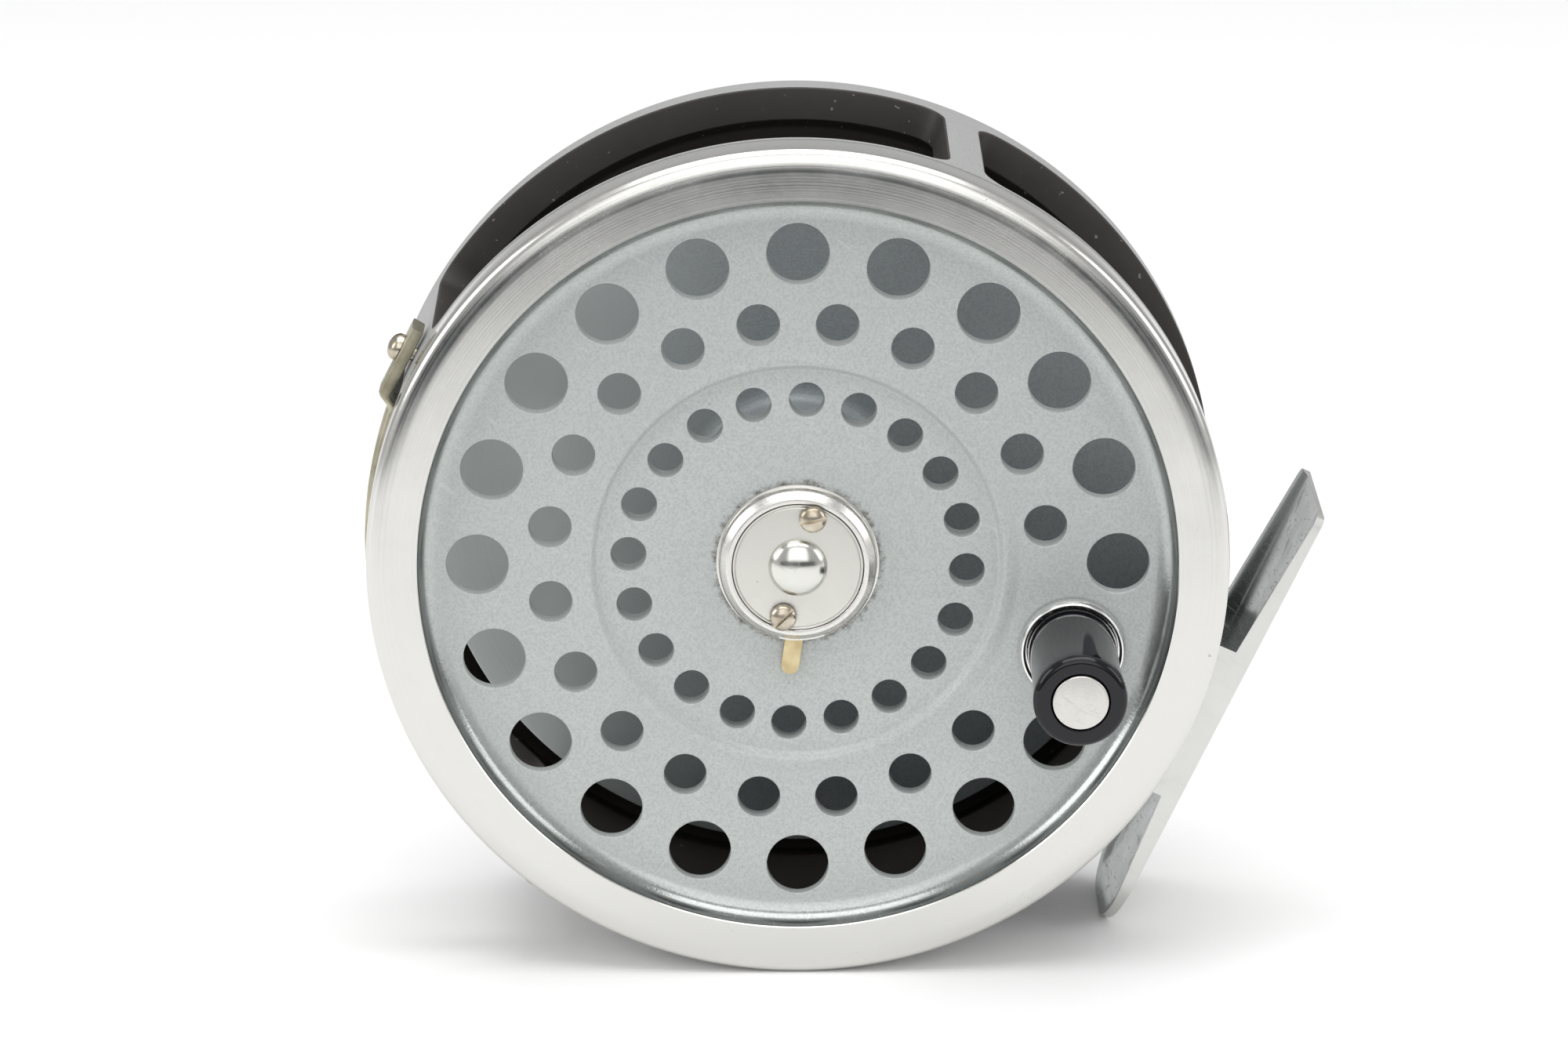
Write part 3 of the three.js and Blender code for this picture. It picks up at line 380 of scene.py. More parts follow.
def make_grain():
    """Grain is a fine noise for height; Patches is a broad cloudy noise; Specks are the
    rare peaks of a medium one, such as dust or pits."""
    inputs = [
        ("Vector", "NodeSocketVector", None),
        ("Grain scale", "NodeSocketFloat", 5000.0),
        ("Patch scale", "NodeSocketFloat", 60.0),
        ("Speck threshold", "NodeSocketFloat", 0.72),
    ]
    tree, given, out = new_group("Grain and patches", inputs, ["Grain", "Patches", "Specks"])
    place = given.outputs["Vector"]
    fine = noise(tree, place, given.outputs["Grain scale"], detail=2.0)
    tree.links.new(fine, out.inputs["Grain"])
    cloudy = noise(tree, place, given.outputs["Patch scale"], detail=5.0, rough=0.6)
    tree.links.new(ramp(tree, cloudy, 0.35, 0.68), out.inputs["Patches"])
    dots = noise(tree, place, 1500.0, detail=1.0)
    over = maths(tree, "SUBTRACT", dots, given.outputs["Speck threshold"])
    tree.links.new(ramp(tree, over, 0.0, 0.03), out.inputs["Specks"])
    return tree


GRAIN = make_grain()
print("effects:", sorted(group.name for group in bpy.data.node_groups))

# %% [markdown]
# ## One recipe for every finish
#
# Each finish is a Principled shader whose colour, gloss and bump come from those groups.
# The numbers that stay the same all over, such as coat or specular, are set on the
# shader's own sockets.

# %% The recipe


class Finish:
    """A material under construction: its node tree, its shader and its coordinates."""

    def __init__(self, name, colour, roughness, metallic, coat=0.0):
        self.material = bpy.data.materials.new(name)
        self.material.use_nodes = True
        self.tree = self.material.node_tree
        self.shader = self.tree.nodes["Principled BSDF"]
        self.shader.inputs["Roughness"].default_value = roughness
        self.shader.inputs["Metallic"].default_value = metallic
        self.shader.inputs["Coat Weight"].default_value = coat
        self.shader.inputs["Coat Roughness"].default_value = 0.05
        self.colour = self.constant(colour)
        self.roughness = roughness
        self.height = None
        self.place = self.tree.nodes.new("ShaderNodeTexCoord").outputs["Object"]
        self.shader.inputs["Base Color"].default_value = (*colour, 1.0)

    def constant(self, colour):
        node = self.tree.nodes.new("ShaderNodeRGB")
        node.outputs[0].default_value = (*colour, 1.0)
        return node.outputs[0]

    def centred(self, x=0.0, z=0.0):
        """Object coordinates measured from an axis along Y at that place, in mm."""
        move = ((-ORIGIN[0] - x) * MM, 0.0, (-ORIGIN[2] - z) * MM)
        return mapping(self.tree, self.place, (1.0, 1.0, 1.0), moved=move)

    def effect(self, group, vector=None, **values):
        """Put a node group into the material; underscores in names stand for spaces."""
        node = self.tree.nodes.new("ShaderNodeGroup")
        node.node_tree = group
        self.tree.links.new(vector or self.place, node.inputs["Vector"])
        for label, value in values.items():
            node.inputs[label.replace("_", " ")].default_value = value
        return node.outputs

    def mix_colour(self, mask, colour, strength=1.0):
        """Colour becomes the new one where the mask is high."""
        node = self.tree.nodes.new("ShaderNodeMix")
        node.data_type = "RGBA"
        amount = maths(self.tree, "MULTIPLY", mask, strength)
        self.tree.links.new(amount, node.inputs["Factor"])
        self.tree.links.new(self.colour, node.inputs["A"])
        node.inputs["B"].default_value = (*colour, 1.0)
        self.colour = node.outputs["Result"]

    def add_metal(self, mask, start, end):
        """Metallic runs from start to end where the mask is high."""
        amount = ramp(self.tree, mask, 0.0, 1.0, start, end)
        self.tree.links.new(amount, self.shader.inputs["Metallic"])

    def add_roughness(self, mask, amount):
        """Roughness grows by amount where the mask is high."""
        self.roughness = maths(self.tree, "MULTIPLY_ADD", mask, amount, self.roughness)

    def add_height(self, mask, amount):
        """Height in metres, added to what is there."""
        value = maths(self.tree, "MULTIPLY", mask, amount)
        self.height = value if self.height is None else maths(self.tree, "ADD", self.height, value)

    def done(self):
        self.tree.links.new(self.colour, self.shader.inputs["Base Color"])
        if not isinstance(self.roughness, float):
            self.tree.links.new(self.roughness, self.shader.inputs["Roughness"])
        if self.height is not None:
            bump = self.tree.nodes.new("ShaderNodeBump")
            bump.inputs["Distance"].default_value = 1.0
            bump.inputs["Strength"].default_value = 1.0
            self.tree.links.new(self.height, bump.inputs["Height"])
            self.tree.links.new(bump.outputs["Normal"], self.shader.inputs["Normal"])
        return self.material


# %% [markdown]
# ### Satin grey enamel
#
# The spool and frame are painted in a satin grey. Inside the spool the same paint is made
# darker as painted shade, with a painted highlight on its left side. On the face it carries
# grime at the boss, is polished in the cove and has painted shade next to the land, all
# three masked by the distance from the axis.

# %% Satin grey enamel


def make_enamel(name, colour, roughness=0.40, clouding=0.07, on_spool=False, rings=0.0):
    """Satin paint with a fine grain, faint clouding and rare specks. With rings, lathe rings
    are bumped in and a painted highlight lightens the left side. On the spool's face grime
    gathers against the boss, the cove by the rim is polished through, and painted shade
    darkens it next to the land."""
    finish = Finish(name, colour, roughness, 0.15)
    grain = finish.effect(GRAIN, Grain_scale=3600.0, Patch_scale=45.0, Speck_threshold=0.79)
    finish.mix_colour(grain["Patches"], tuple(c * 0.93 for c in colour), 0.6)
    fine = ramp(finish.tree, grain["Grain"], 0.42, 0.64)
    finish.mix_colour(fine, tuple(c * 0.80 for c in colour), 0.8)
    finish.mix_colour(grain["Specks"], (0.12, 0.11, 0.10), 0.35)
    finish.add_roughness(grain["Patches"], clouding)
    finish.add_height(grain["Grain"], 0.000010)
    if rings:
        middle = finish.centred()
        turned = finish.effect(LATHE_RINGS, vector=middle, Rings_per_metre=rings, Breaks=0.3)
        finish.add_height(turned["Height"], 0.000022)
        # Painted highlight: the colour is lightened towards the left (-X), standing in for the sheen
        # of the turned surface.
        parts = finish.tree.nodes.new("ShaderNodeSeparateXYZ")
        finish.tree.links.new(finish.centred(), parts.inputs[0])
        painted_sheen = ramp(finish.tree, parts.outputs["X"], -4 * MM, -27 * MM)
        finish.mix_colour(painted_sheen, (0.44, 0.47, 0.465), 1.0)
    if on_spool:
        radius = finish.effect(AXIS_DISTANCE, vector=finish.centred())["Radius"]
        near = ramp(finish.tree, radius, 8.4 * MM, 11.2 * MM, 1.0, 0.0)
        dirt = noise(finish.tree, finish.place, 1100.0, detail=7.0, rough=0.75)
        spots = ramp(finish.tree, maths(finish.tree, "MULTIPLY", dirt, near), 0.34, 0.50)
        finish.mix_colour(spots, (0.09, 0.08, 0.07), 0.85)
        in_cove = ramp(finish.tree, radius, 37.6 * MM, 39.6 * MM)
        finish.add_metal(in_cove, 0.15, 0.85)
        finish.add_roughness(in_cove, -0.24)
        # Painted shade: the colour is darkened in the cove next to the land, where the crease lies in
        # shade.
        shade_by_land = ramp(finish.tree, radius, 39.4 * MM, 40.5 * MM)
        finish.mix_colour(shade_by_land, tuple(c * 0.35 for c in colour), 0.9)
        hairs = finish.effect(SCRATCHES, Threshold=0.70)["Mask"]
        finish.mix_colour(hairs, tuple(c * 1.25 for c in colour), 0.30)
    return finish.done()


FACE_ENAMEL = make_enamel("Grey enamel, spool face", (0.46, 0.485, 0.475), on_spool=True)
FRAME_ENAMEL = make_enamel("Grey enamel, frame", (0.36, 0.365, 0.36))
# Inside the spool: the face's paint made darker as painted shade; its rings also bring a painted
# highlight on the left side.
SHADED_INSIDE_ENAMEL = make_enamel(
    "Grey enamel inside the spool, painted shade and highlight", (0.27, 0.295, 0.305), roughness=0.36, rings=3500.0
)

# %% [markdown]
# ### Bright metals
#
# All the metals are one function: full metallic, a colour, a roughness, and more or less
# of each effect. Tarnish is a second colour laid in through the patches.

# %% Bright metals


def make_metal(
    name, colour, roughness, rings=0.0, ring_height=0.0000035, centre=(0.0, 0.0),
    scratches=0.3, tarnish=None, patch=70.0
):
    """Metal with lathe rings, fine scratches and patches that dull or tarnish it."""
    finish = Finish(name, colour, roughness, 1.0)
    grain = finish.effect(GRAIN, Grain_scale=6000.0, Patch_scale=patch, Speck_threshold=0.78)
    marks = finish.effect(SCRATCHES, Threshold=0.67)["Mask"]
    if tarnish:
        finish.mix_colour(grain["Patches"], tarnish, 0.85)
    finish.mix_colour(grain["Specks"], tuple(c * 0.35 for c in colour), 0.5)
    finish.add_roughness(grain["Patches"], 0.10)
    finish.add_roughness(marks, 0.18 * scratches)
    finish.add_height(marks, -0.0000025 * scratches)
    if rings:
        middle = finish.centred(*centre)
        turned = finish.effect(LATHE_RINGS, vector=middle, Rings_per_metre=rings, Breaks=0.2)
        finish.add_roughness(turned["Shine"], 0.06)
        finish.add_height(turned["Height"], ring_height)
    return finish.done()


BRIGHT = (0.645, 0.64, 0.615)
POLISHED_RIM = make_metal(
    "Polished rim", BRIGHT, 0.13, rings=3600.0, ring_height=0.000007, scratches=0.12
)
TURNED_HUB = make_metal("Turned hub", (0.70, 0.69, 0.66), 0.2, rings=9000.0, scratches=0.8)
FOOT_METAL = make_metal("Foot aluminium", (0.66, 0.66, 0.64), 0.34, scratches=0.6, patch=120.0)
# The inner side of the foot, hollow included, is the foot's aluminium made darker as painted shade.
SHADED_HOLLOW_METAL = make_metal("Milled hollow, painted shade", (0.27, 0.285, 0.28), 0.2, scratches=0.8, patch=160.0)
STEEL = make_metal("Filed steel", (0.56, 0.55, 0.53), 0.30, scratches=0.8, tarnish=(0.46, 0.43, 0.38))
SCREW_METAL = make_metal(
    "Screw nickel", (0.60, 0.55, 0.46), 0.2, tarnish=(0.36, 0.30, 0.22), patch=500.0
)
GUARD_METAL = make_metal(
    "Nickel silver", (0.50, 0.47, 0.36), 0.34, tarnish=(0.27, 0.25, 0.17), patch=260.0
)
BRASS = make_metal(
    "Dull brass", (0.66, 0.56, 0.34), 0.36, tarnish=(0.42, 0.31, 0.15), patch=420.0
)
print("metals made:", len(bpy.data.materials))

# %% [markdown]
# ### Black resin and the dark inside of the frame
#
# The knob is glossy and the inside of the frame is matt, though both are nearly black:
# only their roughness and dust tell them apart.

# %% Black resin and the dark inside of the frame


def make_black_resin():
    """Polished black resin: nearly mirror-smooth, with hairline scratches and faint dust."""
    finish = Finish("Black resin", (0.006, 0.006, 0.008), 0.07, 0.0)
    finish.shader.inputs["Specular IOR Level"].default_value = 0.35
    marks = finish.effect(SCRATCHES, Threshold=0.70)["Mask"]
    grain = finish.effect(GRAIN, Grain_scale=3000.0, Patch_scale=150.0, Speck_threshold=0.80)
    finish.mix_colour(grain["Specks"], (0.25, 0.24, 0.22), 0.25)
    finish.add_roughness(marks, 0.12)
    finish.add_roughness(grain["Patches"], 0.04)
    return finish.done()


def make_inside_black():
    """Matt black paint with pale dust specks, as inside the frame."""
    finish = Finish("Inside black", (0.020, 0.017, 0.015), 0.55, 0.0)
    grain = finish.effect(GRAIN, Grain_scale=4000.0, Patch_scale=80.0, Speck_threshold=0.74)
    finish.mix_colour(grain["Patches"], (0.035, 0.030, 0.026), 0.7)
    finish.mix_colour(grain["Specks"], (0.35, 0.33, 0.30), 0.45)
    finish.add_height(grain["Grain"], 0.000008)
    return finish.done()


BLACK_RESIN = make_black_resin()
INSIDE_BLACK = make_inside_black()
print("finishes so far:", len(bpy.data.materials))

# %% [markdown]
# ## The spool's perforated face
#
# The face is drilled with three rings of twenty places. A hole in a mesh needs points
# round its edge, and a turned face needs points on circles about the axis. A cell joins
# the two: it is one wedge of the face, eighteen degrees wide, whose outer edge follows the
# wedge and whose inner edge follows the hole. Between them each point slides along the
# straight line from the hole's edge to the wedge's edge.

# %% Shape of the face, front and back
FLANGE_ROOT = 13.0
INNER_BAND, MIDDLE_BAND = (15.4, 20.9), (24.1, 30.4)
RING_COUNT = 20
WEDGE = 360 // RING_COUNT
DISH = 0.57
EDGE = 0.12
HANDLE_RADIUS, HANDLE_ANGLE = 30.9, -18


def smooth_step(x):
    """0 below 0, 1 above 1 and x^2 (3 - 2x) between."""
    x = np.clip(x, 0, 1)
    return x * x * (3 - 2 * x)


def front_y(radius):
    """Flat at 0 outside, a low bead that rises 0.2 mm as it nears r = 22.2, and inside
    the bead a step down of 0.57 mm to the middle."""
    inside = smooth_step((22.2 - radius) / 0.85)
    bead = smooth_step((23.9 - radius) / 1.6)
    return DISH * inside - 0.2 * bead * (1 - inside)


def back_y(radius):
    """The inner side of the flange, thicker towards the drum."""
    return np.interp(radius, [FLANGE_ROOT, 18.1, 26.75, 38.05], [3.2, 3.2, 2.2, 1.4])


def on_face(x, z, height, offset=0.0):
    """Points over (x, z), at the height of the face there plus an offset."""
    return np.stack([x, height(np.hypot(x, z)) + offset, z], axis=-1)


# %% [markdown]
# ### A drilled cell and a plain cell
#
# Cutting the holes with booleans would leave ragged faces and poor shading, so each hole
# is laid out in its own wedge of the grid instead.

# %% A drilled cell and a plain cell
SIDE_STEPS = 6


def wedge_edge(r_in, r_out, middle):
    """Radii and angles once round a wedge: inner arc, far side, outer arc, near side."""
    half = WEDGE / 2
    along = np.arange(WEDGE + 1) + middle - half
    across = np.linspace(r_in, r_out, SIDE_STEPS + 1)
    radius = np.concatenate([
        np.full(WEDGE, r_in), across[:-1], np.full(WEDGE, r_out), across[::-1],
    ])
    angle = np.concatenate([
        along[:-1],
        np.full(SIDE_STEPS, middle + half),
        along[::-1][:-1],
        np.full(SIDE_STEPS + 1, middle - half),
    ])
    return radius, angle


def drilled_cell(ring, hole, middle, r_in, r_out):
    """Rows run from the wedge's edge on the front, over the hole's rounded lip, down its
    wall and out to the wedge's edge on the back. In each row a point is
    centre + (hole + gap) d + t (edge - centre - (hole + gap) d), d pointing at the edge."""
    edge_x, edge_z = polar(*wedge_edge(r_in, r_out, middle))
    cx, cz = polar(ring, middle)
    dx, dz = edge_x - cx, edge_z - cz
    length = np.hypot(dx, dz)
    dx, dz = dx / length, dz / length

    def row(reach, t, height, offset):
        reach = reach + t * (length - reach)
        return on_face(cx + dx * reach, cz + dz * reach, height, offset)

    rows = [row(hole + EDGE, t, front_y, 0.0) for t in (1.0, 0.7, 0.42, 0.2, 0.07, 0.0)]
    for a in np.radians((30, 60, 90)):
        rows.append(row(hole + EDGE * (1 - math.sin(a)), 0.0, front_y, EDGE * (1 - math.cos(a))))
    for a in np.radians((90, 45, 0)):
        rows.append(row(hole + EDGE * (1 - math.sin(a)), 0.0, back_y, -EDGE * (1 - math.cos(a))))
    rows += [row(hole + EDGE, t, back_y, 0.0) for t in (0.3, 1.0)]
    return np.stack(rows)


def plain_cell(middle, r_in, r_out, height):
    """A wedge with no hole: an even grid of radii and angles."""
    radius, angle = np.meshgrid(
        np.linspace(r_in, r_out, SIDE_STEPS + 1),
        np.arange(WEDGE + 1) + middle - WEDGE / 2,
        indexing="ij",
    )
    return on_face(*polar(radius, angle), height)


# %% [markdown]
# ### The three rings of holes
#
# Each ring is the same cell turned twenty times. The handle takes the place of one outer
# hole and covers two of the middle ones, and plain cells fill those.

# %% The three rings of holes
BOSS_RADIUS, BOSS_TOP_RADIUS, RECESS_RADIUS = 8.4, 7.6, 7.05
FACE_EDGE = 37.8
BANDS = [
    # ring radius, hole radius, first hole's angle, inner and outer edge, places left out
    (34.2, 3.35, 90, MIDDLE_BAND[1], FACE_EDGE, (HANDLE_ANGLE,)),
    (26.725, 2.3, 99, *MIDDLE_BAND, (-9, -27)),
    (18.1, 1.9, 87, *INNER_BAND, ()),
]

face_sheets = []
for ring, hole, first, r_in, r_out, left_out in BANDS:
    for k in range(RING_COUNT):
        middle = first - k * WEDGE
        if any((middle - gone) % 360 == 0 for gone in left_out):
            face_sheets.append((plain_cell(middle, r_in, r_out, front_y), FACE_ENAMEL))
            face_sheets.append((plain_cell(middle, r_in, r_out, back_y), SHADED_INSIDE_ENAMEL))
        else:
            face_sheets.append((drilled_cell(ring, hole, middle, r_in, r_out), FACE_ENAMEL))


def face_ring(radii, height):
    """A plain ring of the face between the drilled bands."""
    radii = np.asarray(radii, float)
    return turn(np.stack([radii, height(radii)], axis=1))


GRIME_EDGE = BOSS_RADIUS + 0.3
face_sheets += [
    (face_ring(np.linspace(GRIME_EDGE, INNER_BAND[0], 6), front_y), FACE_ENAMEL),
    (face_ring(np.linspace(INNER_BAND[1], MIDDLE_BAND[0], 25), front_y), FACE_ENAMEL),
    (face_ring(np.linspace(FLANGE_ROOT, INNER_BAND[0], 3), back_y), SHADED_INSIDE_ENAMEL),
    (face_ring(np.linspace(INNER_BAND[1], MIDDLE_BAND[0], 4), back_y), SHADED_INSIDE_ENAMEL),
]
print("face sheets:", len(face_sheets))

# %% [markdown]
# ## The rim
#
# The rim is left as polished metal. From the face a cove sweeps up to a flat land, whose
# outer edge is rounded where the palm rubs on it. Behind it a skirt overhangs the frame.

# %% The rim's profile
LAND_INNER = RIM_RADIUS - 5.5
SKIRT_INNER = RIM_RADIUS - 1.4
RIM_BACK = 2.4
CHANNEL = -0.9


def rim_land(size=1.1, lean=math.radians(16), flat_to=RIM_RADIUS - 2.5):
    """Flat, then y = k (r - r1)^2 until it leans back by 16 degrees, then the arc of a
    circle of 1.1 mm to the outside of the rim."""
    a = np.linspace(lean - np.pi / 2, 0, 9)
    start = RIM_RADIUS - size + size * math.cos(a[0])
    r = np.linspace(flat_to, start, 10)
    crown = math.tan(lean) / (2 * (start - flat_to)) * (r - flat_to) ** 2
    arc_y = crown[-1] + size * (np.sin(a) - math.sin(a[0]))
    arc = np.stack([RIM_RADIUS - size + size * np.cos(a), arc_y - RIM_DEPTH], axis=1)
    lip = [
        (LAND_INNER, 0.1 - RIM_DEPTH),
        (LAND_INNER + 0.1, -RIM_DEPTH),
        (LAND_INNER + 0.6, -RIM_DEPTH),
    ]
    return np.concatenate([lip, np.stack([r, crown - RIM_DEPTH], axis=1), arc[1:]])


cove_profile = cove(FACE_EDGE, LAND_INNER, 0.0, 0.1 - RIM_DEPTH, steps=14)
land_profile = rim_land()
skirt_profile = soften([
    land_profile[-1],
    (RIM_RADIUS, RIM_BACK),
    (SKIRT_INNER, RIM_BACK),
    (SKIRT_INNER, CHANNEL),
    (LAND_INNER + 1.4, CHANNEL),
    (LAND_INNER + 1.4, 1.4),
    (38.05, 1.4),
    (FACE_EDGE, back_y(FACE_EDGE)),
], 0.2)
rim_sheets = [
    (turn(cove_profile), FACE_ENAMEL),
    (turn(land_profile), POLISHED_RIM),
    (turn(skirt_profile), POLISHED_RIM),
]

# %% [markdown]
# ## The boss, the drum and the rear flange
#
# A polished boss stands round the middle of the face. Its lower side has a slot for the
# latch tab, so for those angles the wall is only a bridge over the slot. The rest of the
# spool is one profile: down the drum, out along the rear flange and back to the bore.

# %% Boss with a slot for the latch tab
BOSS_FRONT = DISH - 1.8
CAP_BACK = BOSS_FRONT + 0.6
SLOT_TOP = CAP_BACK + 0.05
SLOT_ANGLES = (-104, -70)
SPOOL_BORE = 4.4
BUSH_DEPTH = 25.6

slot_turn = np.arange(SLOT_ANGLES[0], SLOT_ANGLES[1] + 1)
wall_turn = np.arange(SLOT_ANGLES[1], SLOT_ANGLES[0] + 361)
bridge = soften([
    (RECESS_RADIUS, SLOT_TOP),
    (RECESS_RADIUS, BOSS_FRONT),
    (BOSS_TOP_RADIUS, BOSS_FRONT),
    (BOSS_RADIUS, BOSS_FRONT + BOSS_RADIUS - BOSS_TOP_RADIUS),
    (BOSS_RADIUS, SLOT_TOP),
], 0.12)
foot_of_wall = [
    (BOSS_RADIUS, SLOT_TOP),
    (BOSS_RADIUS, DISH - 0.2),
    (BOSS_RADIUS + 0.08, DISH - 0.06),
    (GRIME_EDGE, DISH),
]
inner_wall = [(RECESS_RADIUS, y) for _, y in reversed(foot_of_wall)]
slot_floor = [(RECESS_RADIUS, DISH), (GRIME_EDGE, DISH)]
boss_sheets = [
    (turn(bridge), TURNED_HUB),
    (turn(foot_of_wall, wall_turn), TURNED_HUB),
    (turn(inner_wall, wall_turn), TURNED_HUB),
    (turn([(RECESS_RADIUS, SLOT_TOP), (BOSS_RADIUS, SLOT_TOP)], slot_turn), TURNED_HUB),
    (turn(slot_floor, slot_turn), TURNED_HUB),
    (turn([(SPOOL_BORE, DISH), (RECESS_RADIUS, DISH)]), TURNED_HUB),
]


def slot_end(angle):
    """The cut end of the boss wall: inner and outer edges, floor to bridge. The outer
    edge follows the small fillet at the foot of the wall."""
    outer = np.array(foot_of_wall)
    inner = np.stack([np.full(len(outer), RECESS_RADIUS), outer[:, 1]], axis=1)
    pair = np.stack([inner, outer])
    x, z = polar(pair[..., 0], angle)
    return np.stack([x, pair[..., 1], z], axis=-1)


boss_sheets += [(slot_end(angle), TURNED_HUB) for angle in SLOT_ANGLES]

# %% [markdown]
# ### Drum and rear flange
#
# Line winds on the drum between the flanges. Fillets at both ends keep it from being
# nipped in a corner, and they catch a soft light through the holes.

# %% Drum and rear flange
DRUM_RADIUS, DRUM_FILLET = 11.0, 2.0
REAR_FACE, REAR_RADIUS = 24.3, 40.4


def drum_profile():
    """Fillet, straight drum, fillet, rear flange, its rounded edge and the bore."""
    a = np.linspace(0, np.pi / 2, 7)
    corner = DRUM_RADIUS + DRUM_FILLET
    across, up = DRUM_FILLET * np.sin(a), DRUM_FILLET * np.cos(a)
    front = np.stack([corner - across, 5.2 - up], axis=1)
    rear = np.stack([corner - up, REAR_FACE - DRUM_FILLET + across], axis=1)
    flange = soften([
        (corner, REAR_FACE),
        (REAR_RADIUS, REAR_FACE),
        (REAR_RADIUS, BUSH_DEPTH),
        (SPOOL_BORE, BUSH_DEPTH),
        (SPOOL_BORE, DISH),
    ], 0.25)
    return np.concatenate([front, rear, flange[1:]])


drum_sheets = [(turn(drum_profile()), SHADED_INSIDE_ENAMEL)]
spool_sheets = face_sheets + rim_sheets + boss_sheets + drum_sheets
make_piece("spool_body", spool_sheets, "spool", ["spool"])

# %% [markdown]
# ## The hub cap and its screws
#
# A thin turned disc with a dome covers the latch, held by two small slotted screws. A
# screw head is drawn in rows across its slot: each row is a chord of the head, and the
# rows that lie in the slot drop to its floor, so that the slot's sides are straight.

# %% The cap
HUB_TURN = np.arange(0, 361, 3)
CAP_RADIUS = RECESS_RADIUS - 0.08
DOME_RADIUS, DOME_HEIGHT = 3.15, 1.5


def dome_profile(radius, height, base, steps=14):
    """r = R sin a, y = base - h cos a: half an ellipse turned about the axis."""
    a = np.linspace(0, np.pi / 2, steps + 1)
    return np.stack([radius * np.sin(a), base - height * np.cos(a)], axis=1)


dome = dome_profile(DOME_RADIUS, DOME_HEIGHT, BOSS_FRONT)
cap_profile = np.concatenate([
    soften([
        (DOME_RADIUS, BOSS_FRONT),
        (CAP_RADIUS - 0.35, BOSS_FRONT),
        (CAP_RADIUS - 0.28, BOSS_FRONT + 0.12),
        (CAP_RADIUS - 0.2, BOSS_FRONT),
        (CAP_RADIUS, BOSS_FRONT),
        (CAP_RADIUS, CAP_BACK),
        (2.55, CAP_BACK),
    ], 0.1),
    dome_profile(2.55, DOME_HEIGHT - 0.6, BOSS_FRONT, steps=8)[::-1],
])
dome_metal = make_metal("Polished dome", (0.66, 0.66, 0.62), 0.14, scratches=0.4, patch=500.0)
cap_metal = make_metal(
    "Turned cap", (0.64, 0.63, 0.59), 0.30, rings=12000.0, scratches=0.5, patch=300.0
)
cap_sheets = [(turn(dome, HUB_TURN), dome_metal), (turn(cap_profile, HUB_TURN), cap_metal)]
make_piece("hub_cap", cap_sheets, "spool", ["latch_cap"])

# %% [markdown]
# ### Slotted screw heads
#
# A slot cut into a round head needs edges along the slot, which a turned grid lacks. Rows
# laid across the slot give straight sides without a boolean.

# %% Slotted screw heads


def slotted_head(radius, rise, edge, slot, floor):
    """Rows at widths w across the slot; along each, x = s sqrt(R^2 - w^2) for s from -1
    to 1. Height = edge + rise sqrt(1 - (x^2 + w^2) / R^2), or the floor inside the slot.
    Returns the top and the flat base as sheets of (along, height, across)."""
    half = slot / 2
    outside = np.linspace(half, radius, 9)[1:]
    w = np.concatenate([-outside[::-1], [-half, -half, half, half], outside])
    in_slot = np.zeros(len(w), bool)
    in_slot[len(outside) + 1:len(outside) + 3] = True
    s = np.sin(np.linspace(-np.pi / 2, np.pi / 2, 25))
    x = s[None, :] * np.sqrt(np.maximum(radius ** 2 - w ** 2, 0))[:, None]
    w = np.broadcast_to(w[:, None], x.shape)
    height = edge + rise * np.sqrt(np.maximum(1 - (x ** 2 + w ** 2) / radius ** 2, 0))
    height = np.where(in_slot[:, None], floor, height)
    top = np.stack([x, height, w], axis=-1)
    base = np.stack([x, np.zeros_like(x), w], axis=-1)
    sides = [np.stack([top[:, k], base[:, k]]) for k in (0, -1)]
    ends = [np.stack([top[k], base[k]]) for k in (0, -1)]
    return [top, base, *sides, *ends]


def set_along_y(sheets, x, z, seat, slot_degrees):
    """Stand a head on the plane y = seat with its top towards -Y and its slot turned."""
    c, s = math.cos(math.radians(slot_degrees)), math.sin(math.radians(slot_degrees))
    placed = []
    for grid in sheets:
        along, height, across = grid[..., 0], grid[..., 1], grid[..., 2]
        px, pz = x + along * c - across * s, z + along * s + across * c
        placed.append(np.stack([px, seat - height, pz], axis=-1))
    return placed


def centre_of(node):
    """x and z of the middle of a CAD node's box."""
    low, high = about_axis(node)
    return (low[0] + high[0]) / 2, (low[2] + high[2]) / 2


def shank(x, z, radius, start, end):
    """The screw's plain shank."""
    profile = [(0, start), (radius, start), (radius, end), (0, end)]
    return turn(profile, np.arange(0, 361, 15), (x, z))


for node, slot_degrees in (("cap_screw_1", 12), ("cap_screw_2", 44)):
    x, z = centre_of(node)
    seat = BOSS_FRONT - 0.3
    head = set_along_y(slotted_head(1.45, 0.72, 0.22, 0.36, 0.42), x, z, seat, slot_degrees)
    sheets = [(grid, SCREW_METAL) for grid in head] + [(shank(x, z, 0.65, seat, 3.2), SCREW_METAL)]
    make_piece(node + "_slotted", sheets, "spool", [node])

# %% [markdown]
# ## The handle
#
# The knob is black resin, turned slightly narrower at the waist, on a polished pin whose
# flat end shows at the front. A thin bright cup under it keeps it off the enamel.

# %% Cup, knob and pin
HANDLE = polar(HANDLE_RADIUS, HANDLE_ANGLE)
KNOB_TURN = np.arange(0, 361, 3)
cup_low, cup_high = about_axis("handle_ferrule")
knob_low, knob_high = about_axis("handle_knob")
pin_low, pin_high = about_axis("handle_pin")

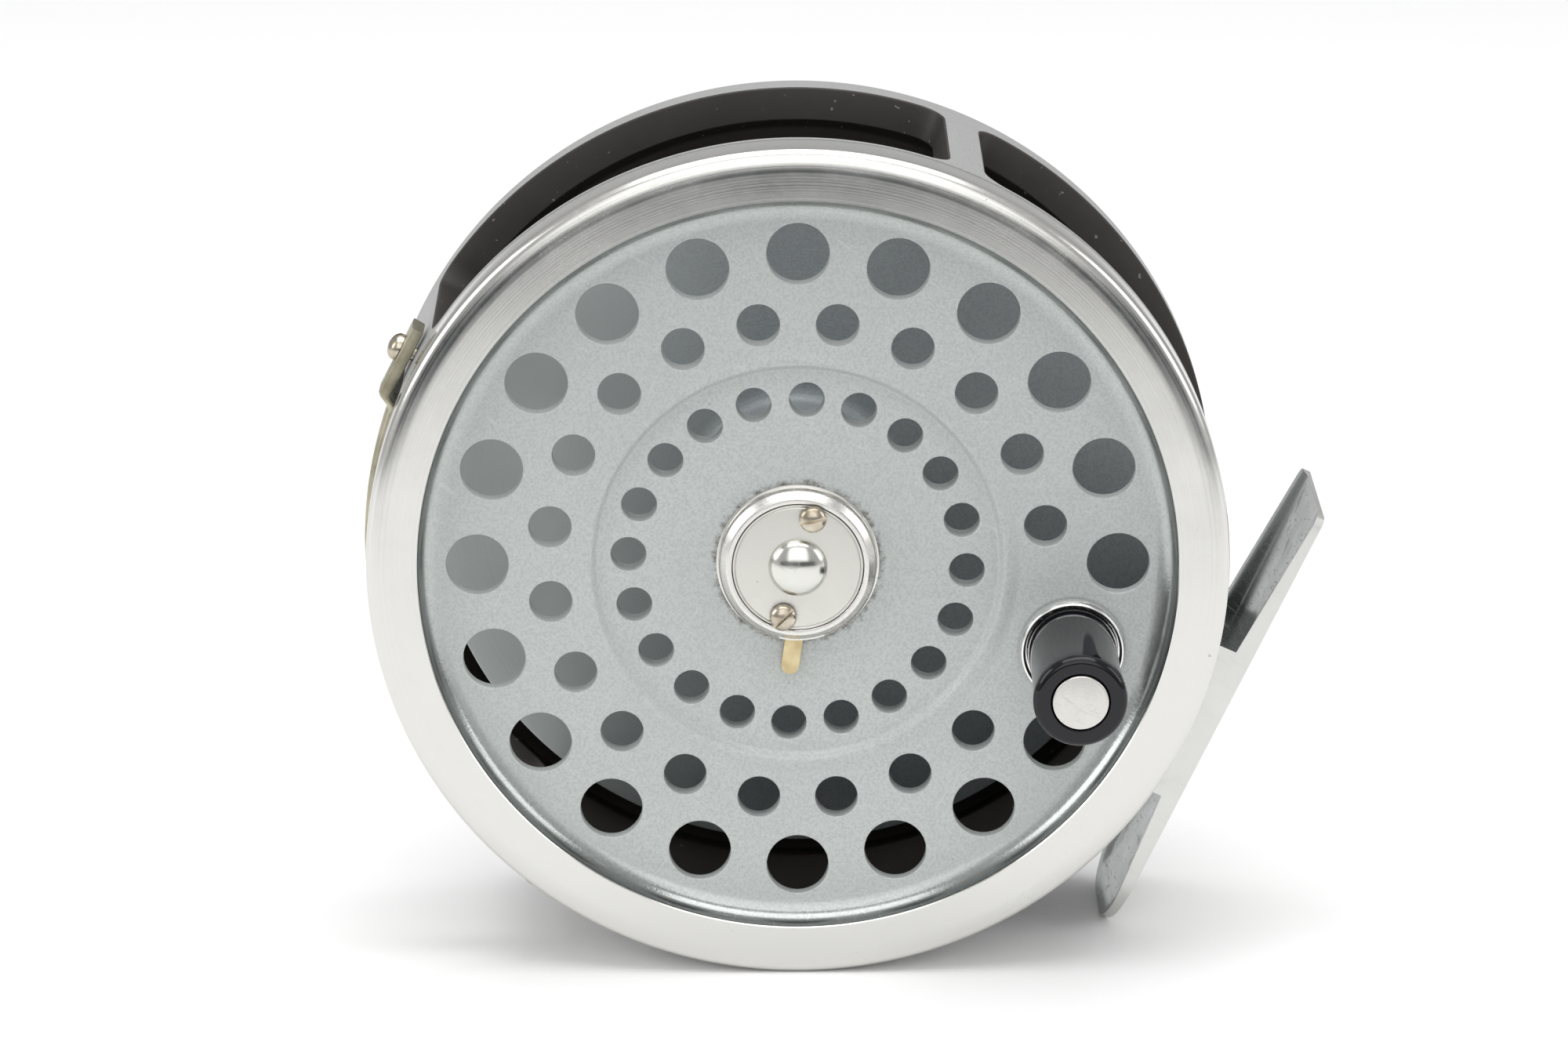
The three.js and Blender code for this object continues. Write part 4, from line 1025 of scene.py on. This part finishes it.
CUP_HOLE, CUP_INSIDE, CUP_OUTSIDE = 2.3, 5.2, 5.75
cup_floor = cup_low[1] + 0.7
cup_profile = soften([
    (CUP_HOLE, cup_high[1]),
    (CUP_HOLE, cup_floor),
    (CUP_INSIDE, cup_floor),
    (CUP_INSIDE, cup_low[1]),
    (CUP_INSIDE + 0.25, cup_low[1]),
    (CUP_OUTSIDE, cup_low[1] + 0.5),
    (CUP_OUTSIDE, cup_high[1]),
    (CUP_HOLE, cup_high[1]),
], 0.18, steps=4)
cup_metal = make_metal(
    "Handle cup", (0.80, 0.80, 0.79), 0.12, rings=5000.0, centre=HANDLE, scratches=0.4
)
cup_sheets = [(turn(cup_profile, KNOB_TURN, HANDLE), cup_metal)]
make_piece("handle_cup", cup_sheets, "spool", ["handle_ferrule"])


def knob_profile():
    """Radius = base + waist and flare: 4.8 mm at the cup, 4.66 in the middle and 4.97 at
    the front edge, then a rounded corner and a bore for the pin's head."""
    back, front = knob_high[1], knob_low[1]
    t = np.linspace(0, 1, 12)
    radius = 4.8 + 0.17 * t - 0.18 * np.sin(np.pi * t)
    side = np.stack([radius, back - 0.3 + (front + 0.9 - back + 0.3) * t], axis=1)
    a = np.linspace(0, np.pi / 2, 7)[1:]
    corner = np.stack([4.97 - 0.75 + 0.75 * np.cos(a), front + 0.75 - 0.75 * np.sin(a)], axis=1)
    bore = soften([
        (3.9, front), (3.12, front), (3.12, front + 1.4), (2.3, front + 1.4),
        (2.3, back), (4.5, back), side[0],
    ], 0.12)
    return np.concatenate([side, corner, bore])


knob_sheets = [(turn(knob_profile(), KNOB_TURN, HANDLE), BLACK_RESIN)]
make_piece("knob", knob_sheets, "handle", ["handle_knob"])

PIN_HEAD, PIN_SHANK, HEAD_DEPTH = 2.95, 2.0, 1.0
pin_profile = soften([
    (0, pin_low[1]),
    (PIN_HEAD, pin_low[1]),
    (PIN_HEAD, knob_low[1] + HEAD_DEPTH),
    (PIN_SHANK, knob_low[1] + HEAD_DEPTH),
    (PIN_SHANK, pin_high[1]),
    (0, pin_high[1]),
], 0.18, steps=4)
pin_metal = make_metal(
    "Handle pin", (0.61, 0.60, 0.57), 0.2,
    rings=9000.0, centre=HANDLE, scratches=1.0, patch=500.0,
)
pin_sheets = [(turn(pin_profile, KNOB_TURN, HANDLE), pin_metal)]
make_piece("handle_pin_turned", pin_sheets, "spool", ["handle_pin"])

# %% [markdown]
# ## The frame
#
# The frame is a cup with three windows cut through its wall. The wall is a cylinder, so a
# window is a rounded rectangle in (angle, y). A window cell joins that outline to a plain
# rectangle of the wall, outside and inside, in the same way as the drilled cells.

# %% Window cells
FRAME_OUTER = RIM_RADIUS
FRAME_INNER = RIM_RADIUS - 3.6
WALL_FRONT, WALL_BACK = 2.95, 26.6
WINDOW_FRONT, WINDOW_BACK = 3.4, 25.7
WINDOW_CORNER = 2.6
WALL_STEPS = 16
ARC_MM = math.pi / 180 * FRAME_OUTER


def window_cell(cell, window):
    """For each point B round the cell's rectangle, Q is the nearest point of the window
    shrunk by its corner radius, and the window's edge is Q + radius (B - Q) / |B - Q|.
    Rows go from the cell's edge to the window's on the outside, round the lip, through
    the wall and back to the cell's edge on the inside."""
    angles = np.arange(cell[0], cell[1] + 1)
    depths = np.linspace(WALL_FRONT, WALL_BACK, WALL_STEPS + 1)
    u = np.concatenate([
        angles[:-1], np.full(WALL_STEPS, cell[1]),
        angles[::-1][:-1], np.full(WALL_STEPS + 1, cell[0]),
    ]) * ARC_MM
    v = np.concatenate([
        np.full(len(angles) - 1, WALL_FRONT), depths[:-1],
        np.full(len(angles) - 1, WALL_BACK), depths[::-1],
    ])
    qu = np.clip(u, window[0] * ARC_MM + WINDOW_CORNER, window[1] * ARC_MM - WINDOW_CORNER)
    qv = np.clip(v, WINDOW_FRONT + WINDOW_CORNER, WINDOW_BACK - WINDOW_CORNER)
    length = np.hypot(u - qu, v - qv)
    du, dv = (u - qu) / length, (v - qv) / length
    lip = 0.2

    def row(gap, t, radius):
        reach = WINDOW_CORNER + gap + t * (length - WINDOW_CORNER - gap)
        x, z = polar(radius, (qu + du * reach) / ARC_MM)
        return np.stack([x, qv + dv * reach, z], axis=-1)

    outside = [row(lip, t, FRAME_OUTER) for t in (1.0, 0.5, 0.0)]
    through = []
    for a in np.radians((0, 30, 60, 90)):
        through.append(row(lip * (1 - math.sin(a)), 0.0, FRAME_OUTER - lip * (1 - math.cos(a))))
    for a in np.radians((90, 60, 30, 0)):
        through.append(row(lip * (1 - math.sin(a)), 0.0, FRAME_INNER + lip * (1 - math.cos(a))))
    inside = [row(lip, t, FRAME_INNER) for t in (0.0, 0.5, 1.0)]
    return np.stack(outside), np.stack(through), np.stack(inside)


def plain_wall(start, end, radius):
    """An even grid of the wall between two angles."""
    depths = np.linspace(WALL_FRONT, WALL_BACK, WALL_STEPS + 1)
    profile = np.stack([np.full(WALL_STEPS + 1, radius), depths], axis=1)
    return turn(profile, np.arange(start, end + 1))


WINDOWS = [((-13, 67), (-10, 64.4)), ((67, 152), (69.7, 147.5)), ((152, 234), (156.5, 229.5))]
frame_sheets = []
for cell, window in WINDOWS:
    outside, through, inside = window_cell(cell, window)
    frame_sheets += [(outside, FRAME_ENAMEL), (through, INSIDE_BLACK), (inside, INSIDE_BLACK)]
frame_sheets += [
    (plain_wall(234, 347, FRAME_OUTER), FRAME_ENAMEL),
    (plain_wall(234, 347, FRAME_INNER), INSIDE_BLACK),
]

# %% [markdown]
# ### Front ring and back plate
#
# The front ring closes the wall in front of the windows and tucks under the skirt of the
# spool. The back plate steps out into a shallow pan that houses the click check.

# %% Front ring and back plate
PLATE_BACK = 30.1
PAN_BACK = PLATE_BACK + 1.2
PAN_INNER = PAN_BACK - 2
PAN_RADIUS = 29.5
SPINDLE_HOLE = 3.3
RING_OUTER = SKIRT_INNER - 0.5

front_ring = soften([
    (FRAME_INNER, WALL_FRONT),
    (FRAME_INNER, -0.5),
    (RING_OUTER, -0.5),
    (RING_OUTER, 2.8),
    (FRAME_OUTER, 2.8),
    (FRAME_OUTER, WALL_FRONT),
], 0.12)
back_outside = soften([
    (FRAME_OUTER, WALL_BACK),
    (FRAME_OUTER, PLATE_BACK),
    (PAN_RADIUS + 1.4, PLATE_BACK),
    (PAN_RADIUS - 0.2, PAN_BACK),
    (SPINDLE_HOLE, PAN_BACK),
], (0, 1.3, 0.8, 0.8, 0), steps=6)
back_inside = soften([
    (SPINDLE_HOLE, PAN_BACK),
    (SPINDLE_HOLE, PAN_INNER),
    (PAN_RADIUS - 1, PAN_INNER),
    (PAN_RADIUS, PLATE_BACK - 2),
    (FRAME_INNER - 1.2, PLATE_BACK - 2),
    (FRAME_INNER, PLATE_BACK - 3.2),
    (FRAME_INNER, WALL_BACK),
], 0.3)
frame_sheets += [
    (turn(front_ring), FRAME_ENAMEL),
    (turn(back_outside), FRAME_ENAMEL),
    (turn(back_inside), INSIDE_BLACK),
]
make_piece("frame_cup", frame_sheets, "frame", ["frame"])

# %% [markdown]
# ## The foot
#
# The foot is a bar with two thin wings, flat outside where it sits in the rod's reel seat
# and milled hollow inside. It leans back so that its lower tip stands level with the rim.
# Its length t and width y make the grid; the distance d from the spool axis is the height.

# %% The foot's own directions
foot_low, foot_high = about_axis("reel_foot")
FOOT_DISTANCE, FOOT_UP, FOOT_DOWN = 50.9, 26.0, 26.8
FOOT_FRONT, FOOT_BACK = foot_low[1], foot_high[1]
tip_reach = math.hypot(FOOT_DISTANCE, FOOT_DOWN)
FOOT_ANGLE = math.atan2(FOOT_DOWN, FOOT_DISTANCE) - math.asin(RIM_RADIUS / tip_reach)
OUT = np.array([math.cos(FOOT_ANGLE), math.sin(FOOT_ANGLE)])
ALONG = np.array([-OUT[1], OUT[0]])
BLOCK_UP, BLOCK_DOWN = 8.4, 9.9
END_RADIUS = 6.0


def foot_point(d, t, y):
    """x = d out_x + t along_x, z = d out_z + t along_z."""
    return np.stack([d * OUT[0] + t * ALONG[0], y + 0 * d, d * OUT[1] + t * ALONG[1]], axis=-1)


def foot_edges(t):
    """Front and back edges at each t: straight, with rounded corners at both tips."""
    low = np.clip(END_RADIUS - (t + FOOT_DOWN), 0, END_RADIUS)
    high = np.clip(1.0 - (FOOT_UP - t), 0, 1.0)
    inset = END_RADIUS - np.sqrt(END_RADIUS ** 2 - low ** 2) + 1.0 - np.sqrt(1.0 - high ** 2)
    return FOOT_FRONT + inset, FOOT_BACK - inset


def foot_height(t, y):
    """Inner surface: the seat round the frame on the block, and on the wings a lip of
    tapering thickness with a hollow milled between its front and back walls."""
    up = (t - BLOCK_UP) / (FOOT_UP - BLOCK_UP)
    down = (-t - BLOCK_DOWN) / (FOOT_DOWN - BLOCK_DOWN)
    wing = np.where(t > 0, up, down)
    lip = 2.0 - 1.1 * np.clip(wing, 0, 1)
    from_front = smooth_step((y - FOOT_FRONT - 0.5) / 3.0)
    across = from_front * smooth_step((FOOT_BACK - 1.4 - y) / 2.2)
    end = smooth_step((t + FOOT_DOWN - 1.9) / 1.6)
    thickness = lip - (lip - 0.55) * across * end
    seat = np.sqrt(np.maximum((RIM_RADIUS + 0.3) ** 2 - t ** 2, 0))
    on_block = (t < BLOCK_UP) & (t > -BLOCK_DOWN)
    return np.where(on_block, seat, FOOT_DISTANCE - thickness)


# %% [markdown]
# ### The foot's surface
#
# Front and back edges are found for each t, and the rows between them are packed closely
# by the walls of the hollow, where the surface bends most.

# %% The foot's surface
tiny = 0.02
corner_t = END_RADIUS * (1 - np.cos(np.linspace(0, np.pi / 2, 9)))
foot_t = np.concatenate([
    -FOOT_DOWN + corner_t,
    np.linspace(-FOOT_DOWN + END_RADIUS, -BLOCK_DOWN - tiny, 14)[1:],
    np.linspace(-BLOCK_DOWN + tiny, BLOCK_UP - tiny, 20),
    np.linspace(BLOCK_UP + tiny, FOOT_UP - 1.0, 20),
    FOOT_UP - 1.0 + np.sin(np.linspace(0, np.pi / 2, 5))[1:],
])
foot_v = np.concatenate([
    np.linspace(0, 0.25, 13),
    np.linspace(0.25, 0.75, 8)[1:-1],
    np.linspace(0.75, 1, 13),
])
front_edge, back_edge = foot_edges(foot_t)
foot_y = front_edge[:, None] + foot_v[None, :] * (back_edge - front_edge)[:, None]
grid_t = np.broadcast_to(foot_t[:, None], foot_y.shape)
foot_inner = foot_point(foot_height(grid_t, foot_y), grid_t, foot_y)
foot_outer = foot_point(np.full(foot_y.shape, FOOT_DISTANCE), grid_t, foot_y)
foot_walls = [np.stack([foot_inner[:, k], foot_outer[:, k]]) for k in (0, -1)]
foot_walls += [np.stack([foot_inner[k], foot_outer[k]]) for k in (0, -1)]
# The inner side takes the darkened aluminium, painted shade; the outside and walls keep the plain
# finish.
foot_sheets = [(foot_inner, SHADED_HOLLOW_METAL)] + [(grid, FOOT_METAL) for grid in (foot_outer, *foot_walls)]
make_piece("foot", foot_sheets, "frame", ["reel_foot"], bevel=0.18)

# %% [markdown]
# ## The line guard
#
# The guard is a nickel-silver bow across the window on the rod's far side. Flat tabs are
# screwed to the pillars and the bow between them is rounded outside. It is a section
# carried along a path in the XZ plane: at each angle the path gives an outer and an inner
# distance from the axis.

# %% The bow and its tabs
GUARD_FRONT, GUARD_BACK = 6.0, 10.0
GUARD_TABS = (152.8, 233.0)
TAB_END, TAB_RUN = 3.1, 4.9
TAB_SEAT = RIM_RADIUS + 0.3
TAB_TOP = TAB_SEAT + 1.4
BOW_OUTER, BOW_INNER = 46.6, 44.4


def flat_tab(screw_angle, distance, angle):
    """Radius of a flat tab at each angle: distance / cos(angle from the screw)."""
    return distance / np.cos(np.radians(angle - screw_angle))


def guard_radii(angle):
    """Outer and inner radius: the nearer tab's flats, or the bow between the tabs."""
    nearer = np.where(angle < sum(GUARD_TABS) / 2, GUARD_TABS[0], GUARD_TABS[1])
    off = np.abs(angle - nearer)
    into_bow = smooth_step((off - 5.9) / 1.8)
    held = nearer + np.minimum(off, 7)
    outer = (1 - into_bow) * flat_tab(nearer, TAB_TOP, held) + into_bow * BOW_OUTER
    inner = (1 - into_bow) * flat_tab(nearer, TAB_SEAT, held) + into_bow * BOW_INNER
    return outer, inner, into_bow


tab_turn = math.degrees(math.atan2(TAB_END, TAB_TOP))
guard_angle = np.concatenate([
    np.linspace(GUARD_TABS[0] - tab_turn, GUARD_TABS[0] + 9, 30),
    np.linspace(GUARD_TABS[0] + 10, GUARD_TABS[1] - 10, 60),
    np.linspace(GUARD_TABS[1] - 9, GUARD_TABS[1] + tab_turn, 30),
])


def guard_section(angle):
    """Round the section with a = 0..360 degrees: a box whose outer corners are rounded
    more along the bow, y = middle + half * f(cos a), radius between inner and outer."""
    outer, inner, bow = (value[:, None] for value in guard_radii(angle))
    a = np.radians(np.linspace(0, 360, 33))[None, :]
    power = 0.22 + 0.34 * bow
    across = np.sign(np.cos(a)) * np.abs(np.cos(a)) ** power
    up = np.sign(np.sin(a)) * np.abs(np.sin(a)) ** power
    radius = (outer + inner) / 2 + (outer - inner) / 2 * up
    y = (GUARD_FRONT + GUARD_BACK) / 2 + (GUARD_BACK - GUARD_FRONT) / 2 * across
    x, z = polar(radius, angle[:, None])
    return np.stack([x, y, z], axis=-1)


bow = guard_section(guard_angle)
caps = [np.stack([bow[k], np.broadcast_to(bow[k].mean(axis=0), bow[k].shape)]) for k in (0, -1)]
guard_sheets = [(grid, GUARD_METAL) for grid in (bow, *caps)]
make_piece("guard", guard_sheets, "frame", ["line_guard"])

# %% [markdown]
# ### Guard screws
#
# The same slotted head is laid on a flat that faces outwards instead of forwards.

# %% Guard screws


def set_along_radius(sheets, angle, distance, y):
    """Stand a head on a flat that faces outwards at that angle and distance."""
    c, s = math.cos(math.radians(angle)), math.sin(math.radians(angle))
    placed = []
    for grid in sheets:
        along, height, across = grid[..., 0], grid[..., 1] + distance, grid[..., 2]
        px, pz = height * c - along * s, height * s + along * c
        placed.append(np.stack([px, y + across, pz], axis=-1))
    return placed


GUARD_MIDDLE = (GUARD_FRONT + GUARD_BACK) / 2
for node, angle in zip(("guard_screw_1", "guard_screw_2"), GUARD_TABS):
    head = slotted_head(1.5, 1.0, 0.25, 0.42, 0.45)
    stem_profile = np.array([(0, 0.0), (0.8, 0.0), (0.8, -4.4), (0, -4.4)])
    stem = turn(stem_profile, np.arange(0, 361, 20))
    head.append(stem)
    placed = set_along_radius(head, angle, TAB_TOP + 0.05, GUARD_MIDDLE)
    sheets = [(grid, SCREW_METAL) for grid in placed]
    make_piece(node + "_slotted", sheets, "frame", [node])

# %% [markdown]
# ## The back: nut and regulator knob
#
# On the back sit the spindle's nut and the ribbed knob that sets the click's tension. The
# ribs are a wave in the radius: twenty-four times round, the knob is cut in by 0.4 mm.

# %% Spindle nut
nut_low, nut_high = about_axis("spindle_nut")
NUT_RADIUS = 5.4
nut_profile = soften([
    (SPINDLE_HOLE, nut_low[1]),
    (NUT_RADIUS, nut_low[1]),
    (NUT_RADIUS, nut_high[1]),
    (SPINDLE_HOLE, nut_high[1]),
    (SPINDLE_HOLE, nut_low[1]),
], 0.45, steps=5)
make_piece("nut", [(turn(nut_profile, HUB_TURN), TURNED_HUB)], "frame", ["spindle_nut"])

# %% [markdown]
# ### Regulator knob
#
# A wave added to the radius makes the ribs, with a weight for each corner of the profile
# so that they fade out on the rounded edges.

# %% Regulator knob
REGULATOR = (18.5, 9.2)
reg_low, reg_high = about_axis("regulator_knob")
RIB_COUNT, RIB_DEPTH = 24, 0.4
RIB_FRONT = PAN_BACK + 0.6
STEM_END = 28.4


def ribbed(profile, degrees, rib_weight):
    """Radius = profile radius - weight * depth * (1 - |cos(n a / 2)|)^1.5, which leaves
    rounded ribs with narrow valleys between them."""
    profile = np.asarray(profile, float)
    angle = np.radians(np.asarray(degrees, float))[None, :]
    valley = (1 - np.abs(np.cos(RIB_COUNT * angle / 2))) ** 1.5
    radius = profile[:, :1] - np.asarray(rib_weight)[:, None] * RIB_DEPTH * valley
    x = REGULATOR[0] + radius * np.cos(angle)
    z = REGULATOR[1] + radius * np.sin(angle)
    return np.stack([x, np.broadcast_to(profile[:, 1:], x.shape), z], axis=2)


knob_back_profile = np.array([
    (1.6, STEM_END), (1.6, RIB_FRONT), (5.0, RIB_FRONT), (5.75, RIB_FRONT),
    (5.95, RIB_FRONT + 0.25), (5.95, reg_high[1] - 0.7), (5.8, reg_high[1] - 0.4),
    (5.2, reg_high[1] - 0.12), (4.6, reg_high[1]), (1.75, reg_high[1]),
    (1.7, reg_high[1] - 0.7), (1.0, reg_high[1] - 0.7), (1.0, STEM_END), (1.6, STEM_END),
])
rib_weights = np.array([0, 0, 0, 1, 1, 1, 1, 0.4, 0, 0, 0, 0, 0, 0], float)
regulator_metal = make_metal(
    "Regulator", (0.76, 0.76, 0.75), 0.22, rings=8000.0, centre=REGULATOR, scratches=0.8
)
regulator_grid = ribbed(knob_back_profile, np.arange(0, 361, 1.5), rib_weights)
regulator_sheets = [(regulator_grid, regulator_metal)]
make_piece("regulator", regulator_sheets, "regulator", ["regulator_knob"])

# %% [markdown]
# ## The small parts
#
# The lever, springs, pawls, posts and gear are flat or plainly turned, and the CAD has
# their shapes right. Each is copied, its loose triangles are merged into whole faces, and
# its edges are broken with a small bevel, as a file or a tumbler would leave them.

# %% Copies with broken edges


def broken_edges(node, body, material, edge):
    """A merged copy of a CAD node with its flat faces made whole and its edges bevelled."""
    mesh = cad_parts[node].data.copy()
    mesh.name = node + "_filed"
    mesh.materials.clear()
    mesh.materials.append(material)
    work = bmesh.new()
    work.from_mesh(mesh)
    bmesh.ops.remove_doubles(work, verts=work.verts, dist=0.002 * MM)
    bmesh.ops.dissolve_limit(
        work, angle_limit=math.radians(1), verts=work.verts, edges=work.edges, delimit={"NORMAL"}
    )
    work.to_mesh(mesh)
    work.free()
    return finish_piece(node + "_filed", mesh, body, [node], edge, SHARP)


SMALL_PARTS = [
    # nodes, body, finish, record slot, bevel
    (["latch_lever"], "latch", BRASS, "brass", 0.1),
    (["latch_spring"], "spool", STEEL, "steel", 0.0),
    (["spindle"], "frame", STEEL, "steel", 0.12),
    (["front_bush", "rear_bush"], "release_carrier", BRASS, "brass", 0.1),
    (["ratchet_gear"], "spool", STEEL, "steel", 0.12),
    (["gear_screw_1", "gear_screw_2", "gear_screw_3"], "spool", STEEL, "steel", 0.1),
    (["foot_screw_1", "foot_screw_2"], "frame", STEEL, "steel", 0.1),
    (["check_pawl"], "pawl", STEEL, "steel", 0.12),
    (["spare_pawl"], "frame", STEEL, "steel", 0.12),
    (["pawl_post", "spare_pawl_post"], "frame", STEEL, "steel", 0.08),
    (["arm_post", "spare_spring_post"], "frame", STEEL, "steel", 0.08),
    (["tension_arm"], "arm", BRASS, "brass", 0.12),
    (["check_spring"], "arm", STEEL, "steel", 0.05),
    (["spare_spring"], "frame", STEEL, "steel", 0.05),
    (["spare_spring_block"], "frame", BRASS, "brass", 0.12),
    (["regulator_cam"], "regulator", BRASS, "brass", 0.08),
    (["regulator_screw"], "regulator", STEEL, "steel", 0.06),
]
for nodes, body, finish, slot, edge in SMALL_PARTS:
    for node in nodes:
        broken_edges(node, body, finish, edge)

# %% [markdown]
# ## Floor, light and camera
#
# The reel stands on a white sweep in a light tent. The world is a bright soft dome, a
# large light hangs above and slightly in front, and two smaller ones stand at the sides,
# so that polished metal has broad reflections with soft ends.

# %% White sweep


def stage_sheet(name, corners, faces, colour, roughness, smooth=False):
    """A plain sheet of one colour that stands round the reel and isn't part of it."""
    mesh = bpy.data.meshes.new(name)
    mesh.from_pydata(corners, [], faces)
    if smooth:
        mesh.shade_smooth()
    sheet = bpy.data.objects.new(name, mesh)
    bpy.context.collection.objects.link(sheet)
    plain = bpy.data.materials.new(name)
    plain.use_nodes = True
    shader = plain.node_tree.nodes["Principled BSDF"]
    shader.inputs["Base Color"].default_value = (*colour, 1.0)
    shader.inputs["Roughness"].default_value = roughness
    mesh.materials.append(plain)


def make_sweep():
    """A floor that ends 0.3 m in front, as a sheet of paper does at the table's edge, and
    curves up far behind: z = 0, then a quarter circle."""
    radius, back, front, half = 1.2, 1.6, -0.3, 4.0
    a = np.linspace(0, np.pi / 2, 24)
    y = np.concatenate([np.linspace(front, back, 12)[:-1], back + radius * np.sin(a)])
    z = np.concatenate([np.zeros(11), radius * (1 - np.cos(a))])
    x = np.linspace(-half, half, 9)
    grid = np.stack([
        np.broadcast_to(x[None, :], (len(y), len(x))),
        np.broadcast_to(y[:, None], (len(y), len(x))),
        np.broadcast_to(z[:, None], (len(y), len(x))),
    ], axis=-1)
    faces = faces_of(*grid.shape[:2]).tolist()
    points = grid.reshape(-1, 3).tolist()
    stage_sheet("sweep", points, faces, (0.90, 0.90, 0.90), 0.7, smooth=True)


def make_room_floor():
    """The dim floor of the room in front of the table. The flat metal faces lean towards
    it, so the top of the rim mirrors it and shows where it curves."""
    side, far, near, down, up = 6, -7, -0.4, -0.75, 0.5
    corners = [
        (-side, far, down), (side, far, down), (side, near, down), (-side, near, down),
        (-side, far, up), (side, far, up),
    ]
    faces = [(0, 1, 2, 3), (0, 4, 5, 1)]
    stage_sheet("room floor", corners, faces, (0.10, 0.12, 0.135), 0.8)


make_sweep()
make_room_floor()

# %% [markdown]
# ### Lights and world
#
# Area lights make soft-edged reflections. Small ones would put hard spots on the rim, and
# a strong world alone would leave the metal flat.

# %% Lights and world


def soft_light(name, place, aim, size, power):
    """A square area light at a place in metres, aimed at a point."""
    lamp = bpy.data.lights.new(name, "AREA")
    lamp.shape = "SQUARE"
    lamp.size = size
    lamp.energy = power
    light = bpy.data.objects.new(name, lamp)
    light.location = place
    light.rotation_euler = (Vector(aim) - Vector(place)).to_track_quat("-Z", "Y").to_euler()
    bpy.context.collection.objects.link(light)


middle = Vector((0.0, 0.0, 0.045))
soft_light("top box", (0.0, -0.05, 0.9), middle, 0.9, 7.0)
soft_light("front window", (0.0, -2.4, 1.25), middle, 2.2, 20.0)
soft_light("left box", (-0.85, -0.25, 0.45), middle, 0.5, 2.4)
soft_light("right box", (0.85, -0.2, 0.4), middle, 0.5, 1.8)

world = bpy.data.worlds.new("Light tent")
bpy.context.scene.world = world
world.use_nodes = True
world.node_tree.nodes["Background"].inputs["Color"].default_value = (1.0, 1.0, 1.0, 1.0)
world.node_tree.nodes["Background"].inputs["Strength"].default_value = 0.5

scene = bpy.context.scene
scene.view_settings.view_transform = "Standard"

# %% [markdown]
# ### Camera
#
# The camera looks slightly down at the face through a long lens, so that the circles stay
# nearly round.

# %% Camera
CAMERA_PLACE = np.array([-5.85, -615.96, 198.57])
CAMERA_YAW, CAMERA_DOWN = 0.0071, 0.3050
view = Vector((
    math.sin(CAMERA_YAW) * math.cos(CAMERA_DOWN),
    math.cos(CAMERA_YAW) * math.cos(CAMERA_DOWN),
    -math.sin(CAMERA_DOWN),
))
lens = bpy.data.cameras.new("camera")
lens.lens = 139.3
lens.sensor_width = 36.0
lens.clip_start = 0.01
camera = bpy.data.objects.new("camera", lens)
camera.location = (CAMERA_PLACE + ORIGIN) * MM
camera.rotation_euler = view.to_track_quat("-Z", "Y").to_euler()
bpy.context.collection.objects.link(camera)
scene.camera = camera
print("camera at", np.round(camera.location, 3))
